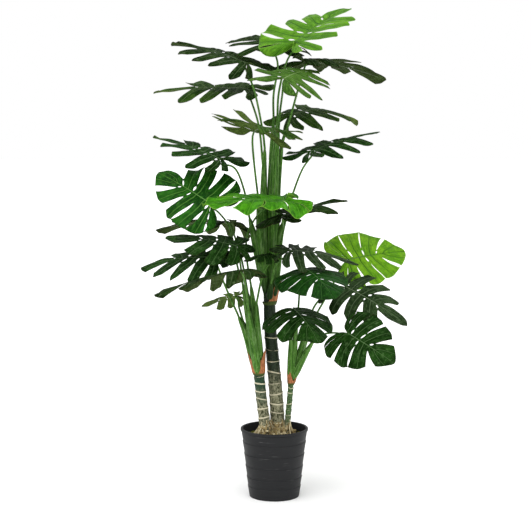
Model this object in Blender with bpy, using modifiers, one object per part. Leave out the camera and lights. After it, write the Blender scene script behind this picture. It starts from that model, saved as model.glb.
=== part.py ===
"""Potted monstera, about 1.5 m tall: a stepped plastic pot, filler, three ringed stems and 25 split leaves.

Metres, +Z up, standing on z = 0 with the pot's axis at the origin. The front faces -Y.
"""

import math
import random

import bmesh
import bpy
from mathutils import Matrix, Vector

GAP = 0.0003  # left between pieces that touch
WELD = 0.00002
SMOOTH_ANGLE = math.radians(35)

# Pot
POT_HEIGHT = 0.215
POT_RIM_RADIUS = 0.105
POT_BASE_RADIUS = 0.079
POT_WALL = 0.003
POT_FLOOR = 0.006
POT_LIP_HEIGHT = 0.008
POT_LIP_OVERHANG = 0.0015
POT_EDGE = 0.001  # chamfer of the lip and the foot
BAND_TOPS = (0.207, 0.175, 0.137, 0.099, 0.064, 0.035)
BAND_STEP = 0.0026
BAND_TAPER = 0.0022
BAND_BEVEL = 0.0004
POT_SIDES = 24

# Filler
FILLER_TOP = 0.190
FILLER_DIP = 0.004  # from the middle to the pot's wall
FILLER_LEVEL = 0.72  # share of the radius that is level
HOLE_SIDES_LEVEL = 4  # a bevel resolution: 12 sides
HOLE_SIDES = 12

# Stems: route from the foot in the filler to the top, radius at foot and top, heights of the leaf scars,
# and the aerial roots, each with its bearing in degrees and its reach from the bark
RING_RAISE = 0.0016
BARE_FOOT = 0.008  # height above the filler where the first leaf scar's flare starts
RING_LIP = 0.0022
STEMS = {
    "left": {
        "route": ((-0.027, -0.012, 0.160), (-0.031, -0.012, 0.238), (-0.040, -0.012, 0.310),
                  (-0.049, -0.012, 0.400)),
        "radii": (0.0175, 0.0160),
        "rings": (0.225, 0.252, 0.280, 0.308, 0.334, 0.358, 0.381),
        "roots": ((150, 0.030), (186, 0.026), (216, 0.034), (248, 0.026), (282, 0.030)),
    },
    "centre": {
        "route": ((0.011, 0.015, 0.160), (0.009, 0.015, 0.250), (0.004, 0.015, 0.330), (-0.006, 0.015, 0.441),
                  (-0.013, 0.012, 0.530), (-0.016, 0.006, 0.640)),
        "radii": (0.0225, 0.0180),
        "rings": (0.232, 0.262, 0.291, 0.321, 0.353, 0.388, 0.424, 0.460, 0.498, 0.538),
        "roots": ((22, 0.026), (58, 0.032), (95, 0.028), (132, 0.032), (-72, 0.030), (-96, 0.024)),
    },
    "right": {
        "route": ((0.040, -0.004, 0.160), (0.042, -0.004, 0.240), (0.048, -0.002, 0.310),
                  (0.053, -0.001, 0.374)),
        "radii": (0.0090, 0.0080),
        "rings": tuple(0.218 + 0.018 * step for step in range(8)),
        "roots": ((-105, 0.030), (-62, 0.034), (-20, 0.026), (25, 0.030)),
    },
}
ROOT_RADIUS = 0.0040
ROOT_TAPER = 0.45
ROOT_START = 0.040  # above the filler
ROOT_STARTS = (0.7, 1.1)  # how much that varies
ROOT_INSIDE = (0.6, 0.004)  # the start's share of the bark's radius, and its rise
ROOT_KNEE = (0.3, 0.45)  # shares of the reach and of the start's height
ROOT_TOUCH = (0.7, 0.001)  # share of the reach where it comes down, and its height over the rest
ROOT_REST = 0.8  # height of a lying root's middle, in its radii
TRUNK_AT = 0.02  # above the filler, where the bark's place is taken for the roots

# Husks: the papery collar where the stalks leave a stem
HUSK_WALL = 0.0012
HUSK_ACROSS = 12
HUSK_UP = 3
HUSK_FLAP = 4  # the higher, the narrower its pointed flaps
HUSK_FLARE = 1.2
HUSKS = {
    "left": {"foot": (-0.0478, -0.012, 0.384), "lean": (-0.10, -0.02), "radii": (0.0192, 0.0280),
             "low": 0.014, "high": 0.080, "peaks": (5, 170)},
    "centre": {"foot": (-0.0145, 0.008, 0.600), "lean": (-0.02, -0.03), "radii": (0.0215, 0.0400),
               "low": 0.010, "high": 0.088, "peaks": (-20,)},
    "right": {"foot": (0.0515, -0.001, 0.350), "lean": (0.14, -0.02), "radii": (0.0112, 0.0200),
              "low": 0.022, "high": 0.054, "peaks": (10, 190)},
}

# Leaf blade, in parts of the length from the stalk's joint to the tip
OUTLINE = ((0.02, -0.05), (0.09, -0.19), (0.22, -0.27), (0.36, -0.22), (0.46, -0.07), (0.49, 0.12),
           (0.47, 0.32), (0.41, 0.52), (0.31, 0.70), (0.18, 0.87), (0.0, 1.0))
LOBE_EDGES = {5: (0.0, 0.33, 0.49, 0.65, 0.82, 1.0), 6: (0.0, 0.30, 0.44, 0.57, 0.70, 0.85, 1.0)}
LOBE_CELLS = 2
TIP_CROWD = 0.7  # draws the cells of the last lobe towards the tip, which rounds it
SLIT_OPEN = 0.026
SLIT_START = 0.30
SLIT_FLARE = 0.45
SLIT_GAPE = 1.5
SLIT_BLUNT = 0.1  # share of the free part whose width the slit's inner end has
START_SPREAD = (0.85, 1.2)
OPEN_SPREAD = (0.6, 1.15)
LOBE_ENDS = (0.05, 0.11)  # how far the corners of a lobe are drawn in, in parts of its reach
END_BASE = 1.25  # share of that on the corner towards the stalk
END_TIP = 0.8
LOBE_LIFTS = (-1.0, 0.8)
LIFT_BEND = 1.5
LOBE_ARCH = 0.8
ARCH_MIDDLE = 0.5
BLADE_ROWS = (0.0, 1.0, 3.0)  # 1 is the slits' inner end, 3 the margin
BLADE_THICKNESS = 0.0010
STALK_RADIUS = 0.0030
STALK_IN_SHEATH = 0.012
NECK = 0.016
STALK_RISE = 0.006  # straight on out of the sheath
STALK_END = (0.0, 0.004, 0.0016)  # just through the blade
CROSS_DROP = 0.25
BASE_DROOP = 0.6  # the lobes behind the joint droop less
VEIN_SPREAD = 0.68  # share of the midrib that side veins leave from
VEIN_FIRST = 0.42  # share of the margin whose side veins all leave from the joint
VEIN_CROWD = 1.0
VEIN_BOW = 0.14
CORNER_WELD = 0.0004
SHEATH_TAPER = 1.4


class Leaf:
    """A blade, its thin stalk and the broad sheath that the stalk rises from."""

    def __init__(self, number, stem, colour, size, turn, form, cut, sheath, stalk):
        self.name = f"leaf_{number:02d}"
        self.seed = number
        self.stem = stem
        self.colour = colour
        self.size = size  # from the stalk's joint to the tip
        self.heading, self.pitch, self.roll = (math.radians(angle) for angle in turn)
        self.fold, self.droop, self.wave = form
        self.lobes, self.gape, self.point = cut
        self.sheath = [Vector(point) for point in sheath[:-1]]
        self.sheath_radii = sheath[-1]
        self.stalk = [Vector(point) for point in stalk]
        self.joint = self.stalk[-1]

    def frame(self):
        """The blade's own axes: y along the midrib, z out of the upper face."""
        turn = Matrix.Rotation(self.heading - math.pi / 2, 4, "Z")
        turn = turn @ Matrix.Rotation(self.pitch, 4, "X") @ Matrix.Rotation(self.roll, 4, "Y")
        return Matrix.Translation(self.joint) @ turn


# turn: heading from +X, pitch of the midrib, roll about it, in degrees
# form: fall of each half (slope), droop of the midrib (degrees over its length), wave of the lobes (in sizes)
# cut: lobes on each side, how much the slits widen towards the margin, how pointed the lobes are
LEAVES = (
    Leaf(1, "centre", "lime", 0.275, (45, 33, 8), (-0.22, 18, 0.050), (6, 0.8, 1.8),
         ((-0.012, 0.000, 0.610), (-0.012, 0.000, 0.800), (-0.004, 0.000, 1.000), (0.008, 0.000, 1.160),
          (0.012, 0.0048)),
         ((0.013, -0.004, 1.250), (0.036, -0.030, 1.340), (0.063, -0.050, 1.400))),
    Leaf(2, "centre", "dark", 0.280, (150, 22, -5), (-0.05, 20, 0.070), (6, 0.8, 2.0),
         ((-0.026, 0.002, 0.620), (-0.034, 0.000, 0.850), (-0.032, -0.003, 1.000), (-0.030, -0.006, 1.076),
          (0.011, 0.0048)),
         ((-0.037, -0.012, 1.139), (-0.060, -0.020, 1.250), (-0.088, 0.002, 1.341))),
    Leaf(3, "centre", "dark", 0.270, (108, 17, 2), (0.04, 20, 0.060), (6, 0.8, 2.0),
         ((-0.018, 0.020, 0.620), (-0.014, 0.024, 0.850), (-0.008, 0.026, 1.050), (-0.003, 0.022, 1.160),
          (0.011, 0.0048)),
         ((-0.003, 0.010, 1.243), (0.010, 0.024, 1.330), (-0.003, 0.060, 1.400))),
    Leaf(4, "centre", "dark", 0.290, (27, -1, -6), (-0.05, 20, 0.080), (6, 0.8, 2.0),
         ((-0.002, 0.006, 0.620), (0.004, 0.006, 0.850), (0.010, 0.006, 0.955), (0.023, 0.004, 1.088),
          (0.012, 0.0048)),
         ((0.050, 0.002, 1.182), (0.075, 0.010, 1.272), (0.096, 0.022, 1.346))),
    Leaf(5, "centre", "mid", 0.240, (60, 16, 18), (0.05, 20, 0.060), (6, 0.8, 2.0),
         ((-0.006, -0.006, 0.620), (-0.003, -0.012, 0.850), (0.004, -0.014, 1.030), (0.012, -0.018, 1.130),
          (0.011, 0.0048)),
         ((0.016, -0.050, 1.190), (0.022, -0.130, 1.242), (0.027, -0.205, 1.287))),
    Leaf(6, "centre", "mid", 0.300, (172, 4, -12), (-0.06, 14, 0.060), (6, 0.4, 2.0),
         ((-0.024, 0.022, 0.620), (-0.030, 0.028, 0.850), (-0.034, 0.034, 1.000), (0.011, 0.0048)),
         ((-0.046, 0.055, 1.137), (-0.068, 0.095, 1.215), (-0.088, 0.135, 1.267))),
    Leaf(7, "centre", "mid", 0.285, (-78, 10, -13), (-0.20, 20, 0.100), (6, 0.8, 2.0),
         ((-0.028, -0.010, 0.640), (-0.044, -0.022, 0.800), (-0.050, -0.036, 0.930), (0.012, 0.0048)),
         ((-0.060, -0.058, 1.020), (-0.066, -0.090, 1.090), (-0.062, -0.118, 1.134))),
    Leaf(8, "centre", "dark", 0.260, (24, 22, 12), (0.00, 60, 0.060), (6, 0.6, 2.0),
         ((-0.004, 0.024, 0.630), (0.004, 0.030, 0.850), (0.012, 0.035, 1.030), (0.011, 0.0048)),
         ((0.026, 0.062, 1.110), (0.053, 0.110, 1.182))),
    Leaf(9, "centre", "dark", 0.255, (28, 20, 2), (-0.05, 14, 0.070), (6, 0.8, 2.0),
         ((0.000, -0.004, 0.650), (0.014, 0.000, 0.800), (0.036, 0.000, 0.875), (0.012, 0.0048)),
         ((0.057, 0.000, 0.945), (0.084, 0.000, 1.015), (0.111, -0.010, 1.073))),
    Leaf(10, "centre", "dark", 0.250, (152, 22, -8), (-0.05, 16, 0.060), (6, 0.6, 2.0),
         ((-0.030, 0.000, 0.650), (-0.060, -0.008, 0.800), (-0.076, -0.010, 0.868), (0.012, 0.0048)),
         ((-0.093, -0.018, 0.955), (-0.120, -0.022, 1.020), (-0.166, -0.030, 1.051))),
    Leaf(11, "left", "mid", 0.235, (145, 27, -42), (-0.10, 14, 0.050), (6, 0.3, 1.2),
         ((-0.050, -0.004, 0.393), (-0.062, 0.000, 0.500), (-0.090, 0.000, 0.640), (0.014, 0.0048)),
         ((-0.112, 0.006, 0.710), (-0.124, 0.014, 0.780), (-0.140, -0.020, 0.845), (-0.165, -0.065, 0.885),
          (-0.192, -0.096, 0.918))),
    Leaf(12, "left", "lime", 0.250, (-160, 5, -8), (-0.10, 16, 0.120), (5, 0.4, 1.5),
         ((-0.046, -0.018, 0.393), (-0.055, -0.020, 0.520), (-0.072, -0.016, 0.660), (0.014, 0.0048)),
         ((-0.084, -0.014, 0.740), (-0.084, -0.014, 0.815), (-0.056, -0.072, 0.875),
          (-0.020, -0.128, 0.908), (0.026, -0.162, 0.934))),
    Leaf(13, "centre", "dark", 0.235, (30, 17, -2), (-0.05, 16, 0.090), (5, 0.8, 2.0),
         ((0.000, -0.012, 0.630), (0.012, -0.020, 0.740), (0.020, -0.026, 0.790), (0.010, 0.0048)),
         ((0.026, -0.066, 0.838), (0.022, -0.138, 0.884))),
    Leaf(14, "left", "dark", 0.215, (175, 14, -18), (0.05, 18, 0.070), (5, 0.2, 1.0),
         ((-0.054, -0.014, 0.393), (-0.072, -0.028, 0.520), (-0.092, -0.046, 0.620), (0.013, 0.0048)),
         ((-0.100, -0.050, 0.700), (-0.108, -0.080, 0.762), (-0.117, -0.120, 0.795))),
    Leaf(15, "left", "dark", 0.260, (158, 0, -18), (0.00, 20, 0.060), (6, 0.6, 1.8),
         ((-0.056, -0.012, 0.393), (-0.080, -0.012, 0.490), (-0.110, -0.015, 0.565), (0.013, 0.0048)),
         ((-0.150, -0.030, 0.660), (-0.168, -0.048, 0.712), (-0.182, -0.090, 0.757))),
    Leaf(16, "left", "mid", 0.115, (175, -8, 30), (0.05, 20, 0.060), (5, 0.3, 1.2),
         ((-0.056, -0.004, 0.393), (-0.078, 0.004, 0.490), (-0.096, 0.012, 0.545), (0.011, 0.0048)),
         ((-0.110, 0.024, 0.590), (-0.117, 0.035, 0.623))),
    Leaf(17, "right", "lime", 0.225, (28, 8, 44), (-0.05, 12, 0.040), (5, 0.0, 0.6),
         ((0.057, 0.003, 0.368), (0.086, 0.020, 0.455), (0.110, 0.036, 0.510), (0.010, 0.0048)),
         ((0.130, 0.052, 0.560), (0.168, 0.094, 0.620), (0.208, 0.136, 0.690), (0.236, 0.130, 0.728))),
    Leaf(18, "centre", "dark", 0.215, (8, -3, 14), (0.05, 20, 0.060), (6, 0.5, 1.5),
         ((-0.016, -0.018, 0.620), (-0.010, -0.034, 0.670), (0.009, 0.0048)),
         ((0.006, -0.072, 0.735), (0.048, -0.128, 0.781))),
    Leaf(19, "right", "mid", 0.215, (-70, -5, 8), (0.10, 26, 0.060), (5, 0.0, 0.8),
         ((0.053, -0.004, 0.368), (0.061, -0.012, 0.460), (0.068, -0.022, 0.540), (0.010, 0.0048)),
         ((0.073, -0.045, 0.600), (0.078, -0.100, 0.680), (0.092, -0.155, 0.728))),
    Leaf(20, "right", "dark", 0.235, (-35, -18, 24), (0.00, 20, 0.050), (6, 0.5, 1.8),
         ((0.056, 0.000, 0.368), (0.082, -0.004, 0.460), (0.100, -0.008, 0.530), (0.010, 0.0048)),
         ((0.125, -0.012, 0.600), (0.170, -0.012, 0.642), (0.218, -0.012, 0.658))),
    Leaf(21, "right", "mid", 0.195, (-50, -16, 44), (0.00, 14, 0.035), (5, 0.4, 0.8),
         ((0.057, -0.004, 0.368), (0.090, -0.018, 0.440), (0.118, -0.032, 0.490), (0.010, 0.0048)),
         ((0.148, -0.080, 0.520), (0.182, -0.128, 0.532), (0.214, -0.176, 0.540))),
    Leaf(22, "right", "mid", 0.210, (-70, -8, 6), (0.25, 28, 0.060), (5, 0.0, 0.8),
         ((0.050, -0.004, 0.368), (0.051, -0.014, 0.445), (0.050, -0.030, 0.500), (0.010, 0.0048)),
         ((0.050, -0.068, 0.570), (0.055, -0.115, 0.605))),
    Leaf(23, "left", "dark", 0.090, (205, 0, -12), (0.05, 20, 0.060), (5, 0.2, 1.0),
         ((-0.046, -0.014, 0.393), (-0.050, -0.034, 0.500), (-0.054, -0.058, 0.610), (0.011, 0.0048)),
         ((-0.036, -0.066, 0.700), (-0.012, -0.085, 0.762))),
    Leaf(24, "left", "dark", 0.250, (165, 3, 14), (0.05, 20, 0.070), (6, 0.5, 1.6),
         ((-0.050, 0.000, 0.393), (-0.062, 0.018, 0.520), (-0.082, 0.036, 0.630), (0.013, 0.0048)),
         ((-0.103, 0.058, 0.740), (-0.135, 0.080, 0.850))),
    Leaf(25, "left", "dark", 0.265, (178, -8, 6), (0.08, 18, 0.070), (6, 0.5, 1.6),
         ((-0.052, -0.026, 0.393), (-0.066, -0.064, 0.500), (-0.078, -0.110, 0.600), (0.012, 0.0048)),
         ((-0.086, -0.168, 0.675), (-0.099, -0.245, 0.736))),
)

COLOURS = {
    "pot_plastic": ((0.040, 0.045, 0.050), 0.55),
    "filler": ((0.045, 0.040, 0.020), 0.95),
    "stem_bark": ((0.090, 0.095, 0.045), 0.75),
    "husk": ((0.350, 0.130, 0.050), 0.80),
    "stalk_green": ((0.045, 0.130, 0.025), 0.50),
    "leaf_lime": ((0.120, 0.370, 0.030), 0.45),
    "leaf_mid": ((0.030, 0.110, 0.020), 0.42),
    "leaf_dark": ((0.016, 0.050, 0.016), 0.40),
}


def clear_scene():
    for item in list(bpy.data.objects):
        bpy.data.objects.remove(item)


def new_collection(name):
    group = bpy.data.collections.new(name)
    bpy.context.scene.collection.children.link(group)
    return group


def material(name):
    made = bpy.data.materials.get(name)
    if made is None:
        made = bpy.data.materials.new(name)
        made.use_nodes = True
        colour, roughness = COLOURS[name]
        shader = made.node_tree.nodes["Principled BSDF"]
        shader.inputs["Base Color"].default_value = (*colour, 1.0)
        shader.inputs["Roughness"].default_value = roughness
        made.diffuse_color = (*colour, 1.0)
    return made


def add_object(name, mesh, group, slot=None):
    item = bpy.data.objects.new(name, mesh)
    group.objects.link(item)
    if slot:
        mesh.materials.clear()
        mesh.materials.append(material(slot))
    return item


def smooth_route(points, steps):
    """Points along a Catmull-Rom curve through the given ones."""
    ends = [2 * points[0] - points[1], *points, 2 * points[-1] - points[-2]]
    route = []
    for a, b, c, d in zip(ends, ends[1:], ends[2:], ends[3:]):
        for step in range(steps):
            t = step / steps
            route.append(0.5 * (2 * b + (c - a) * t + (2 * a - 5 * b + 4 * c - d) * t**2
                                + (3 * b - a - 3 * c + d) * t**3))
    route.append(points[-1].copy())
    return route


def tube(name, route, radii, group, sides_level, slot=None):
    """A round tube with filled ends along the route, with a radius at each point."""
    curve = bpy.data.curves.new(name, "CURVE")
    curve.dimensions = "3D"
    curve.bevel_depth = max(radii)
    curve.bevel_resolution = sides_level
    curve.use_fill_caps = True
    spline = curve.splines.new("POLY")
    spline.points.add(len(route) - 1)
    for point, place, radius in zip(spline.points, route, radii):
        point.co = (*place, 1.0)
        point.radius = radius / curve.bevel_depth
    guide = bpy.data.objects.new(name + "_guide", curve)
    group.objects.link(guide)
    bpy.context.view_layer.update()
    mesh = bpy.data.meshes.new_from_object(guide.evaluated_get(bpy.context.evaluated_depsgraph_get()))
    bpy.data.objects.remove(guide)
    shape = bmesh.new()
    shape.from_mesh(mesh)
    bmesh.ops.remove_doubles(shape, verts=shape.verts, dist=WELD)
    bmesh.ops.recalc_face_normals(shape, faces=shape.faces)
    shape.to_mesh(mesh)
    shape.free()
    return add_object(name, mesh, group, slot)


def apply_modifiers(item):
    bpy.context.view_layer.update()
    mesh = bpy.data.meshes.new_from_object(item.evaluated_get(bpy.context.evaluated_depsgraph_get()))
    item.modifiers.clear()
    item.data = mesh


def combine(item, operation, group):
    """Joins the collection's objects to the item, or cuts them from it, then removes them."""
    boolean = item.modifiers.new(operation.lower(), "BOOLEAN")
    boolean.operation = operation
    boolean.operand_type = "COLLECTION"
    boolean.collection = group
    boolean.solver = "EXACT"
    apply_modifiers(item)
    for tool in list(group.objects):
        bpy.data.objects.remove(tool)


def keep_largest(item):
    """Drops loose scraps, and fills a sealed hollow by dropping its walls."""
    shape = bmesh.new()
    shape.from_mesh(item.data)
    unseen = set(shape.verts)
    shells = []
    while unseen:
        shell = [unseen.pop()]
        for vert in shell:
            for edge in vert.link_edges:
                other = edge.other_vert(vert)
                if other in unseen:
                    unseen.remove(other)
                    shell.append(other)
        shells.append(shell)
    shells.sort(key=len, reverse=True)
    bmesh.ops.delete(shape, geom=[vert for shell in shells[1:] for vert in shell], context="VERTS")
    bmesh.ops.dissolve_degenerate(shape, edges=shape.edges, dist=WELD)
    bmesh.ops.triangulate(shape, faces=shape.faces)
    shape.to_mesh(item.data)
    shape.free()


def turned(name, profile, group, slot):
    """A solid of revolution: the profile lies at +X and runs down its outer side."""
    mesh = bpy.data.meshes.new(name)
    edges = [(i, i + 1) for i in range(len(profile) - 1)]
    mesh.from_pydata([(radius, 0.0, height) for radius, height in profile], edges, [])
    item = add_object(name, mesh, group, slot)
    screw = item.modifiers.new("turn", "SCREW")
    screw.steps = POT_SIDES
    screw.render_steps = POT_SIDES
    screw.use_merge_vertices = True
    screw.merge_threshold = WELD
    apply_modifiers(item)
    return item


def pot_radius(height):
    """Outer radius of the plain cone that the bands step in from."""
    share = height / POT_HEIGHT
    return POT_BASE_RADIUS + (POT_RIM_RADIUS - POT_LIP_OVERHANG - POT_BASE_RADIUS) * share


def inner_radius(height):
    return pot_radius(height) - BAND_STEP - POT_WALL


def make_pot(group):
    lip_bottom = POT_HEIGHT - POT_LIP_HEIGHT
    profile = [
        (0.0, POT_FLOOR),
        (inner_radius(POT_FLOOR), POT_FLOOR),
        (inner_radius(POT_HEIGHT - POT_EDGE), POT_HEIGHT - POT_EDGE),
        (inner_radius(POT_HEIGHT) + POT_EDGE, POT_HEIGHT),
        (POT_RIM_RADIUS - POT_EDGE, POT_HEIGHT),
        (POT_RIM_RADIUS, POT_HEIGHT - POT_EDGE),
        (POT_RIM_RADIUS, lip_bottom + POT_EDGE),
        (POT_RIM_RADIUS - POT_EDGE, lip_bottom),
    ]
    for top, bottom in zip(BAND_TOPS, (*BAND_TOPS[1:], 0.0)):
        profile.append((pot_radius(top), top - BAND_BEVEL))
        profile.append((pot_radius(bottom) - BAND_TAPER, bottom + BAND_BEVEL))
    foot = pot_radius(0.0) - BAND_TAPER
    profile[-1] = (foot, POT_EDGE)
    profile.append((foot - POT_EDGE, 0.0))
    profile.append((0.0, 0.0))
    turned("pot", profile, group, "pot_plastic")


def make_filler(group, cutters):
    """A plug that fills the pot, with a plain hole for each stem's foot."""
    low = POT_FLOOR + GAP
    profile = [
        (0.0, FILLER_TOP),
        (FILLER_LEVEL * inner_radius(FILLER_TOP), FILLER_TOP),
        (inner_radius(FILLER_TOP - FILLER_DIP) - GAP, FILLER_TOP - FILLER_DIP),
        (inner_radius(low) - GAP, low),
        (0.0, low),
    ]
    filler = turned("filler", profile, group, "filler")
    for stem in STEMS.values():
        route = [Vector(point) for point in stem["route"][:2]]
        route[0] -= (route[1] - route[0]).normalized() * GAP
        radius = (stem["radii"][0] + GAP) / math.cos(math.pi / HOLE_SIDES)
        tube("hole", route, (radius, radius), cutters, HOLE_SIDES_LEVEL)
    combine(filler, "DIFFERENCE", cutters)


def at_height(route, height):
    for low, high in zip(route, route[1:]):
        if low.z <= height <= high.z:
            return low.lerp(high, (height - low.z) / (high.z - low.z))
    return route[-1].copy()


def stem_shape(side):
    """Route and radii of a stem, with a raised ring at each leaf scar."""
    stem = STEMS[side]
    route = smooth_route([Vector(point) for point in stem["route"]], 5)
    foot, top = route[0].z, route[-1].z
    heights = {foot, FILLER_TOP + BARE_FOOT, top}
    for ring in stem["rings"]:
        heights |= {ring, ring + RING_LIP}
    places = []
    radii = []
    for height in sorted(heights):
        share = (height - foot) / (top - foot)
        radius = stem["radii"][0] + (stem["radii"][1] - stem["radii"][0]) * share
        if height in stem["rings"]:
            radius += RING_RAISE
        places.append(at_height(route, height))
        radii.append(radius)
    return places, radii


def make_stem(side, group, parts):
    """The woody stem with its rings, and the aerial roots that run from it onto the filler."""
    places, radii = stem_shape(side)
    stem = tube(f"stem_{side}", places, radii, group, 2, "stem_bark")
    random.seed(side)
    base = at_height([Vector(point) for point in STEMS[side]["route"]], FILLER_TOP + TRUNK_AT)
    for angle, reach in STEMS[side]["roots"]:
        across = Vector((math.cos(math.radians(angle)), math.sin(math.radians(angle)), 0.0))
        start = FILLER_TOP + ROOT_START * random.uniform(*ROOT_STARTS)
        trunk = STEMS[side]["radii"][0]
        resting = FILLER_TOP + ROOT_REST * ROOT_RADIUS + GAP
        inside, tuck = ROOT_INSIDE
        knee, knee_rise = ROOT_KNEE
        low, low_rise = ROOT_TOUCH
        route = [
            Vector((*base.xy, start + tuck)) + across * trunk * inside,
            Vector((*base.xy, resting + (start - resting) * knee_rise)) + across * (trunk + knee * reach),
            Vector((*base.xy, resting + low_rise)) + across * (trunk + low * reach),
            Vector((*base.xy, resting)) + across * (trunk + reach),
        ]
        places = smooth_route(route, 1)
        taper = [ROOT_RADIUS * (1.0 - ROOT_TAPER * step / (len(places) - 1)) for step in range(len(places))]
        tube("root", places, taper, parts, 1)
    combine(stem, "UNION", parts)
    keep_largest(stem)


def husk_mesh(side, swell=0.0):
    """A thin collar with two pointed flaps, made from a grid of angle and height."""
    husk = HUSKS[side]
    foot_radius, top_radius = husk["radii"]
    shape = bmesh.new()
    rows = []
    for skin in (-swell, HUSK_WALL + swell):
        for step in range(HUSK_UP + 1):
            row = []
            for turn in range(HUSK_ACROSS):
                angle = 2 * math.pi * turn / HUSK_ACROSS
                peak = max(math.cos(angle - math.radians(p)) for p in husk["peaks"])
                tall = husk["low"] + (husk["high"] - husk["low"]) * max(peak, 0.0) ** HUSK_FLAP + swell
                height = -swell + (tall + swell) * step / HUSK_UP
                opened = max(0.0, height / husk["high"]) ** HUSK_FLARE
                radius = foot_radius + (top_radius - foot_radius) * opened + skin
                place = Vector(husk["foot"]) + Vector((*husk["lean"], 1.0)) * height
                place += Vector((math.cos(angle), math.sin(angle), 0.0)) * radius
                row.append(shape.verts.new(place))
            rows.append(row)
    inner, outer = rows[: HUSK_UP + 1], rows[HUSK_UP + 1:]
    loop = [*outer, *reversed(inner), outer[0]]
    for low, high in zip(loop, loop[1:]):
        for turn in range(HUSK_ACROSS):
            following = (turn + 1) % HUSK_ACROSS
            corners = (low[turn], low[following], high[following], high[turn])
            shape.faces.new(corners[:3])
            shape.faces.new((corners[0], corners[2], corners[3]))
    bmesh.ops.recalc_face_normals(shape, faces=shape.faces)
    mesh = bpy.data.meshes.new(f"husk_{side}")
    shape.to_mesh(mesh)
    shape.free()
    return mesh


def stalk_route(leaf):
    """From inside the sheath's top, along the stalk, then up through the blade from below."""
    top = leaf.sheath[-1]
    along = (top - leaf.sheath[-2]).normalized()
    frame = leaf.frame()
    below = frame @ Vector((0.0, -0.25 * NECK, -NECK))
    route = [top + along * STALK_RISE, *leaf.stalk[:-1], below]
    return [top - along * STALK_IN_SHEATH, *route, frame @ Vector(STALK_END)]


def make_sheaths(side, group, parts, cutters):
    """The broad green stalk bases of one stem, fused, with a plain hole where each thin stalk stands."""
    stalks = [leaf for leaf in LEAVES if leaf.stem == side]
    bundle = None
    for leaf in stalks:
        places = smooth_route(leaf.sheath, 2 if len(leaf.sheath) == 3 else 1)
        low, high = leaf.sheath_radii
        last = len(places) - 1
        radii = [low + (high - low) * (step / last) ** SHEATH_TAPER for step in range(len(places))]
        if bundle is None:
            bundle = tube(f"sheaths_{side}", places, radii, group, 1, "stalk_green")
        else:
            tube("sheath", places, radii, parts, 1)
    combine(bundle, "UNION", parts)
    keep_largest(bundle)
    for leaf in stalks:
        route = stalk_route(leaf)
        route[0] += (route[0] - route[1]).normalized() * GAP
        tube("stalk_hole", route, [STALK_RADIUS + 1.5 * GAP] * len(route), cutters, 1)
    places, radii = stem_shape(side)
    places[-1].z += GAP
    radii = [(radius + GAP) / math.cos(math.pi / HOLE_SIDES) for radius in radii]
    tube("stem_hole", places, radii, cutters, HOLE_SIDES_LEVEL)
    add_object("husk_hole", husk_mesh(side, 2 * GAP), cutters)
    combine(bundle, "DIFFERENCE", cutters)
    keep_largest(bundle)


def outline_point(share):
    """A point on the right half's margin, from the sinus at 0 to the tip at 1."""
    place = share * (len(OUTLINE) - 1)
    index = min(int(place), len(OUTLINE) - 2)
    t = place - index
    b, c = Vector(OUTLINE[index]), Vector(OUTLINE[index + 1])
    a = Vector(OUTLINE[index - 1]) if index else 2 * b - c
    d = Vector(OUTLINE[index + 2]) if index + 2 < len(OUTLINE) else Vector((-OUTLINE[-2][0], OUTLINE[-2][1]))
    return 0.5 * (2 * b + (c - a) * t + (2 * a - 5 * b + 4 * c - d) * t**2 + (3 * b - a - 3 * c + d) * t**3)


def vein_start(share):
    """Where the side vein that ends at this share of the margin leaves the midrib."""
    return VEIN_SPREAD * max(0.0, (share - VEIN_FIRST) / (1 - VEIN_FIRST)) ** VEIN_CROWD


def flat_point(leaf, side, lobe, across, row, slits, ends):
    """A point of the flat blade, in parts of its size, and how far out along its lobe's free part it is."""
    edges = LOBE_EDGES[leaf.lobes]
    low, high = edges[lobe], edges[lobe + 1]
    start_low, open_low = slits[side][lobe]
    start_high, open_high = slits[side][lobe + 1]
    start = start_low + (start_high - start_low) * across
    free = max(0.0, (row - 1) / 2)
    wide = max(free, SLIT_BLUNT * min(row, 1.0))
    wide = wide**SLIT_FLARE + leaf.gape * wide**SLIT_GAPE
    if lobe > 0:
        low += open_low * wide
    if lobe < leaf.lobes - 1:
        high -= open_high * wide
    share = low + (high - low) * across
    corner = END_BASE * (1 - across) ** 2 + END_TIP * max(0.0, 2 * across - 1) ** 2
    rounding = leaf.point * ends[side][lobe] * corner
    if lobe in (0, leaf.lobes - 1):
        rounding = 0.0
    reach = start * min(row, 1.0) + (1 - start) * free * (1 - rounding)
    root = Vector((0.0, vein_start(share)))
    edge = outline_point(share)
    bend = (root + edge) / 2 - Vector((0.0, VEIN_BOW * edge.x))
    place = root * (1 - reach) ** 2 + bend * 2 * reach * (1 - reach) + edge * reach**2
    return Vector((side * place.x, place.y)), free


def formed_point(leaf, flat, lift):
    """Bends the flat blade: each half falls from the midrib, and the midrib droops along a circle."""
    x, y = flat * leaf.size
    z = -leaf.fold * abs(x) - CROSS_DROP * x * x / leaf.size + lift * leaf.size
    radius = leaf.size / math.radians(leaf.droop)
    if y <= 0:
        radius /= BASE_DROOP
    bend = y / radius
    return Vector((x, (radius + z) * math.sin(bend), (radius + z) * math.cos(bend) - radius))


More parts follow.
